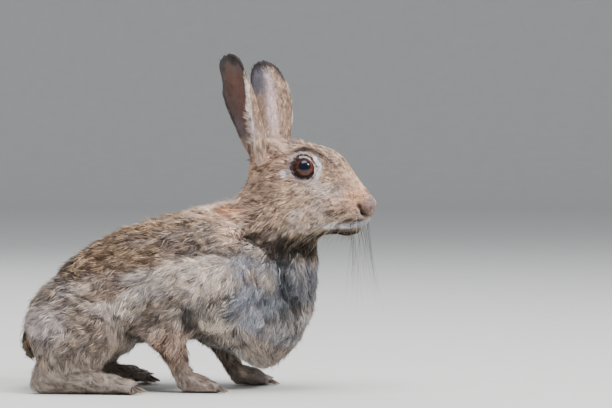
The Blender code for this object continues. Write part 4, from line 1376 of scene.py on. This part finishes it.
def growTufts(settings, faceLabel):
    # tufts of one region as arrays
    region = settings["region"]
    faces = np.nonzero(onNodes(faceLabel, *settings["nodes"]))[0]
    perFace = tuftsPerFace(settings, faces, faceLabel)
    face, weights = growRoots(faces, perFace)
    root, normal = carried(places, face, weights), unit(carried(normals, face, weights))
    rootLabel = faceLabel[face]
    lie = tuftLie(region, root, normal, rootLabel)
    height = carried(earPlace, face, weights)[:, 0]
    long, width, lift = tuftSizes(settings, root, rootLabel, carried(depth, face, weights), height)

    # tufts gather towards the tips of the locks they belong to
    isEar, isHead = region in ("ears", "fringe"), region == "head"
    locks = furSettings["earLock" if isEar else "headLock" if isHead else "lock"]
    area = len(root) / perFace[perFace > 0].mean()
    middles, nearest, gap = locksOf(root, lie, locks["spacing"], locks["stretch"], area)
    flecks, fleck, _ = locksOf(root, lie, locks["fleck"], 0.4, area)
    guard = dice.random(len(root)) < (0 if isEar else furSettings["guard"][0])
    long = long * np.where(guard, furSettings["guard"][1], 1)
    stray = coatValue(rootLabel, "stray").astype(float)
    lockTurn = dice.normal(size=len(middles))[nearest] * locks["turn"]
    turn = dice.normal(size=len(root)) * stray * 0.7 + waves(root, furSettings["sway"]) * stray + lockTurn
    lie = turned(lie, normal, turn)
    own = middles[nearest]
    tip = root + lie * long[:, None]
    lockTip = root[own] + lie[own] * (long[own] * 1.05)[:, None]
    share = np.clip(dice.normal(locks["gather"], 0.15, len(root)), 0, 0.85)[:, None]
    share = share * (np.linalg.norm(lockTip - tip, axis=1) < locks["spacing"] * 1.5)[:, None]
    tip = tip + (lockTip - tip) * share
    wavelength, ripple = furSettings["ripple"]
    relief = 1 + ripple * waves(root, wavelength, seed=8) * (0.25 if isHead else 1) + locks["gap"] * (0.3 - gap * 0.8)
    rise = np.clip(dice.normal(*furSettings["lift"], len(root)) * relief, *furSettings["liftLimits"])
    rise = lift * rise * settings.get("rise", 1.0) + 0.15
    rise = rise * np.where(guard, furSettings["guard"][2], 1)

    tipAt, tipFace = nearestOnSkin(tip)
    tipUp = unit(normals[triangles[tipFace]].mean(1))
    # a tip past an edge, such as the ear's, goes on straight instead of turning the corner
    lost = np.linalg.norm(tip - tipAt, axis=1) > 0.45 * long
    tipPoint = np.where(lost[:, None], tip, tipAt + tipUp * rise[:, None])
    spine = [root - normal * furSettings["sink"], tipPoint]
    if settings["rings"] == 2:
        middle = root + (lie * 0.34 * long[:, None] + (tip - root) * 0.14)
        midAt, midFace = nearestOnSkin(middle)
        spine.insert(1, midAt + unit(normals[triangles[midFace]].mean(1)) * (rise * 0.75)[:, None])
    spine = np.stack(spine, axis=1)
    spine[:, :, 2] = np.maximum(spine[:, :, 2], furSettings["lowest"])

    keep = np.ones(len(root), bool)
    for side in eyeCentre:
        for point in (tipPoint, (tipPoint + root) / 2):
            tilt, around = eyeAngles(point, side)[:2]
            keep &= (np.linalg.norm(point - eyeCentre[side], axis=1) > 14) | (tilt > lidOpening(around) - 1.0)
    if not isEar:
        keep &= zones[triangles[tipFace], 2].mean(1) < 0.5
    # painted shade: the folds' shade and darker gaps between locks, with random mottle on top
    tone = carried(shade, face, weights) * 0.4 + shade[triangles[tipFace]].mean(1) * 0.6
    wavelength, mottle = furSettings["mottle"]
    tone = tone + waves(root, wavelength, seed=21) * (0 if isEar else mottle * 0.3 if isHead else mottle)
    tone = np.clip(tone + locks["gap"] * (gap * 1.5 - 0.55), -1, 1)
    tufts = {
        "face": face, "weights": weights, "root": root, "spine": spine, "up": normal, "tipUp": tipUp,
        "width": width, "lock": dice.random(len(flecks))[fleck], "shade": tone,
        "zones": carried(zones, face, weights), "earPlace": carried(earPlace, face, weights),
    }
    return {name: values[keep] for name, values in tufts.items()}, faces


def tuftMesh(name, tufts, pick, uvOf):
    # closed three-sided tufts ending in a point, the longer ones widest at their bend
    spine, upward, tipUp = tufts["spine"][pick], tufts["up"][pick], tufts["tipUp"][pick]
    count, steps = spine.shape[0], spine.shape[1]
    ringCount = steps - 1
    profile = (1.15,) if ringCount == 1 else (0.75, 1.0)
    along = np.linspace(0, 1, steps)
    points, outward = [], []
    for k in range(ringCount):
        ahead = unit(spine[:, k + 1] - spine[:, max(k - 1, 0)])
        lean = unit(upward * (1 - along[k]) + tipUp * along[k])
        across = unit(np.cross(ahead, lean))
        over = np.cross(across, ahead)
        half = (tufts["width"][pick] * profile[k] / 2)[:, None]
        points += [spine[:, k] - across * half, spine[:, k] + across * half, spine[:, k] + over * half * 0.8]
        outward += [unit(lean - across * 0.5), unit(lean + across * 0.5), lean]
    points.append(spine[:, -1])
    outward.append(unit(tipUp))
    perTuft = ringCount * 3 + 1
    points = np.stack(points, axis=1).reshape(-1, 3)
    outward = np.stack(outward, axis=1).reshape(-1, 3)
    faces = [(0, 1, 2)]
    for k in range(ringCount - 1):
        low, high = k * 3, k * 3 + 3
        for s in range(3):
            t = (s + 1) % 3
            faces += [(low + s, high + s, high + t), (low + s, high + t, low + t)]
    low = (ringCount - 1) * 3
    faces += [(low + s, perTuft - 1, low + (s + 1) % 3) for s in range(3)]
    faces = np.array(faces)
    allFaces = (faces[None] + (np.arange(count) * perTuft)[:, None, None]).reshape(-1, 3)
    mesh = newMesh(name, points, allFaces)

    root = tufts["root"][pick]
    repeat = lambda values: np.repeat(values, perTuft, axis=0)
    sideShare = np.array([-1.0, 1.0, 0.0] * ringCount + [0.0])
    alongShare = np.append(np.repeat(along[:-1], 3), 1.0)
    seen = root * 0.5 + spine[:, -1] * 0.5  # markings are read at the middle of the tuft
    addAttribute(mesh, "place", repeat(seen))
    addAttribute(mesh, "headPlace", repeat(inHead(seen)))
    for key in ("zones", "earPlace", "shade"):
        addAttribute(mesh, key, repeat(tufts[key][pick]))
    strand = np.stack((np.tile(alongShare, count), repeat(tufts["lock"][pick]), repeat(dice.random(count))), axis=1)
    addAttribute(mesh, "strand", strand)
    spot = (uvOf[tufts["face"][pick]] * tufts["weights"][pick][:, :, None]).sum(1)
    half = furSettings["patch"] / 2
    spot = np.clip(spot, half, 1 - half)
    local = np.stack((sideShare, alongShare * 2 - 1), axis=1) * half
    uv = (spot[:, None] + local[None]).reshape(-1, 2)
    layer = mesh.uv_layers.new(name="OFBake")
    layer.data.foreach_set("uv", uv[allFaces.ravel()].astype(np.float32).ravel())
    soft = furSettings["softLight"]
    lit = vertexNormals(points, allFaces) * (1 - soft) + outward * soft
    mesh.normals_split_custom_set_from_vertices(lit.tolist())
    return mesh


# fine tufts on top, and longer, bent ones below them
over = {"rings": 1, "share": 2.2}
under = {"rings": 2, "share": 0.5, "long": 1.1, "wide": 0.95, "rise": 0.75}
coatRegions = {
    "head": {"nodes": ("head",), **over},
    "head_under": {"nodes": ("head",), "rings": 2, "share": 0.55, "rise": 0.8},
    "neck": {"nodes": ("neck",), **over},
    "neck_under": {"nodes": ("neck",), **under},
    "trunk": {"nodes": ("trunk",), **over},
    "trunk_under": {"nodes": ("trunk",), **under},
    "haunches": {"nodes": thighs, **over},
    "haunches_under": {"nodes": thighs, **under},
    "forelegs": {"nodes": upperForelegs, **over},
    "forelegs_under": {"nodes": upperForelegs, **under},
    "feet": {"nodes": feet, "rings": 1, "share": 2.4},
    "tail": {"nodes": ("tail",), "rings": 2, "slot": "tail_coat"},
    "ears": {"nodes": ears, **over, "slot": "ear_skin", "inner": 0.35},
    "fringe": {"nodes": ears, "rings": 2, "slot": "ear_skin", "count": 3.2, "length": (2.2, 7.5)},
}


def makeCoat():
    faceLabel = label[triangles[:, 0]]
    material = coatMaterial()
    total = 0
    for region, settings in coatRegions.items():
        tufts, faces = growTufts({"region": region.split("_")[0], **settings}, faceLabel)
        uvOf = np.zeros((len(triangles), 3, 2))
        uvOf[faces] = unwrapped(faces)
        each = settings["rings"] * 6 - 2  # triangles
        count = len(tufts["root"])
        pieces = math.ceil(count * each / furSettings["perPiece"])
        order = np.argsort(tufts["root"][:, 0], kind="stable")
        for number, pick in enumerate(np.array_split(order, pieces), 1):
            name = "coat_" + region + (f"_{number}" if pieces > 1 else "")
            piece = linkObject(name, tuftMesh(name, tufts, pick, uvOf), material)
            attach(piece, "root")
            settings.get("slot", "coat")
        total += count * each
        print("coat:", region, count, "tufts in", pieces, "pieces,", count * each, "triangles")
    print("coat made:", total, "triangles")


makeCoat()

# Claws and whiskers


def tubeMesh(name, tubes, sides, lowest=None):
    # round tubes, each given as a path, its radii and a value of its own, as one mesh
    points, faces, strands = [], [], []
    for path, radii, own in tubes:
        ring, corners = sweep(path, radii, sides, False)
        faces.append(corners + sum(len(p) for p in points))
        points.append(ring)
        along = np.repeat(np.linspace(0, 1, len(path)), sides)
        strands.append(np.stack((along, np.zeros(len(along)), np.full(len(along), own)), axis=1))
    points = np.concatenate(points)
    if lowest is not None:
        points[:, 2] = np.maximum(points[:, 2], lowest)
    mesh = newMesh(name, points, np.concatenate(faces))
    addAttribute(mesh, "strand", np.concatenate(strands))
    return mesh, points


def clawMaterial():
    material, tree, shader = newMaterial("clawHorn", Roughness=0.38)
    root, tip, dark = (linear(clawSettings[key]) for key in ("root", "tip", "streak"))
    along = split(tree, attribute(tree, "strand"))[0]
    streak = noise(tree, vectorMaths(tree, "MULTIPLY", attribute(tree, "place"), (0.25, 3.0, 3.0)), 1.0, 3.0)
    horn = mixed(tree, mapped(tree, along, 0.2, 1.0), root, tip)
    horn = mixed(tree, mapped(tree, streak, 0.35, 0.65, 0.0, 0.6), horn, dark)
    feed(tree, shader, Base_Color=horn, Normal=bump(tree, streak, 0.0002, 0.5))
    return material


def clawPaths(name):
    # each claw leaves its toe, droops and narrows to its tip
    settings, tips = clawsOf(name), [tip for tip, _, _ in clawTips(name)]
    middle, droop = np.mean([tip[1] for tip in tips]), math.radians(settings["droop"])
    t = np.linspace(0, 1, 12)
    radii = settings["radius"] * np.sqrt(np.maximum(1 - t ** 1.6, 0.015))
    back = (settings["length"] + clawSettings["inToe"]) * (1 - t)
    rise = back * math.sin(droop) - clawSettings["arch"] * (1 - t) * t
    for tip in tips:
        ahead = unit(np.array((1.0, 0.02 * (tip[1] - middle), 0.0)))
        yield tip + ahead * -back[:, None] * math.cos(droop) + up * rise[:, None], radii, 0


def makeClaws():
    material = clawMaterial()
    for name in feet:
        mesh, points = tubeMesh("claws_" + name, clawPaths(name), 10, clawSettings["lowest"])
        addAttribute(mesh, "place", points)
        claws = linkObject("claws_" + name, mesh, material)
        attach(claws, "root")


# Each spray of stiff hairs: how many, where they root ahead of and above the eyes, the way they set off (ahead,
# out and up), length, sag and thickness in mm, and the share that is pale
whiskerSprays = named("count ahead rise way length sag radius pale", {
    "hanging": (14, (32, 47), (-41, -34), (0.12, 0.42, -1.0), (38, 66), 14, 0.11, 0.25),
    "sweeping": (13, (26, 42), (-38, -30), (-0.85, 0.4, -0.4), (30, 56), 12, 0.12, 0.85),
    "beard": (44, (8, 36), (-51, -46), (-0.5, 0.15, -0.9), (4.5, 9.5), 1, 0.1, 0.65),
    "brow": (4, (-2, 8), (12, 15), (-0.4, 0.5, 0.8), (14, 24), 5, 0.08, 0.3),
    "cheek": (2, (-4, 4), (-22, -18), (-0.4, 0.8, -0.3), (14, 20), 3, 0.08, 0.3),
})
whiskerSettings = {"dark": (34, 26, 22), "pale": (214, 200, 180), "tip": (170, 150, 124), "spread": 0.13, "sink": 1.5}


def whiskerMaterial():
    material, tree, shader = newMaterial("whiskerHair", Roughness=0.4)
    dark, pale, tip = (linear(whiskerSettings[key]) for key in ("dark", "pale", "tip"))
    strand = attribute(tree, "strand")
    along, _, own = split(tree, strand)
    tone = mixed(tree, own, dark, pale)
    tone = mixed(tree, mapped(tree, along, 0.5, 1.0, 0.0, 0.5), tone, tip)
    grain = noise(tree, vectorMaths(tree, "MULTIPLY", strand, (30.0, 1.0, 9.0)), 1.0)
    feed(tree, shader, Base_Color=tone, Roughness=mapped(tree, grain, 0.3, 0.7, 0.32, 0.5))
    return material


def whiskerPaths(sign):
    t = np.linspace(0, 1, 14)
    for spray in whiskerSprays.values():
        for _ in range(spray["count"]):
            ahead = dice.uniform(*spray["ahead"])
            root = towardsHead(skinTree, ahead, dice.uniform(*spray["rise"]), sign)
            forward, aside, rise = np.array(spray["way"]) + dice.normal(size=3) * whiskerSettings["spread"]
            way = unit(headAhead * forward + headSide * sign * aside + up * rise)
            length = dice.uniform(*spray["length"])
            path = root - way * whiskerSettings["sink"] + way * (t * length)[:, None]
            path -= up * (spray["sag"] * t * t * (1 - 0.15 * t))[:, None]
            path -= headSide * sign * (0.35 * max(aside, 0) * length * t * t)[:, None]
            yield path, spray["radius"] * (1 - 0.82 * t), float(dice.random() < spray["pale"])


def makeWhiskers():
    material = whiskerMaterial()
    for sign, side in ((1, "left"), (-1, "right")):
        mesh, _ = tubeMesh("whiskers_" + side, whiskerPaths(sign), 5)
        whiskers = linkObject("whiskers_" + side, mesh, material)
        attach(whiskers, "root")


makeClaws()
makeWhiskers()
print("claws and whiskers made")
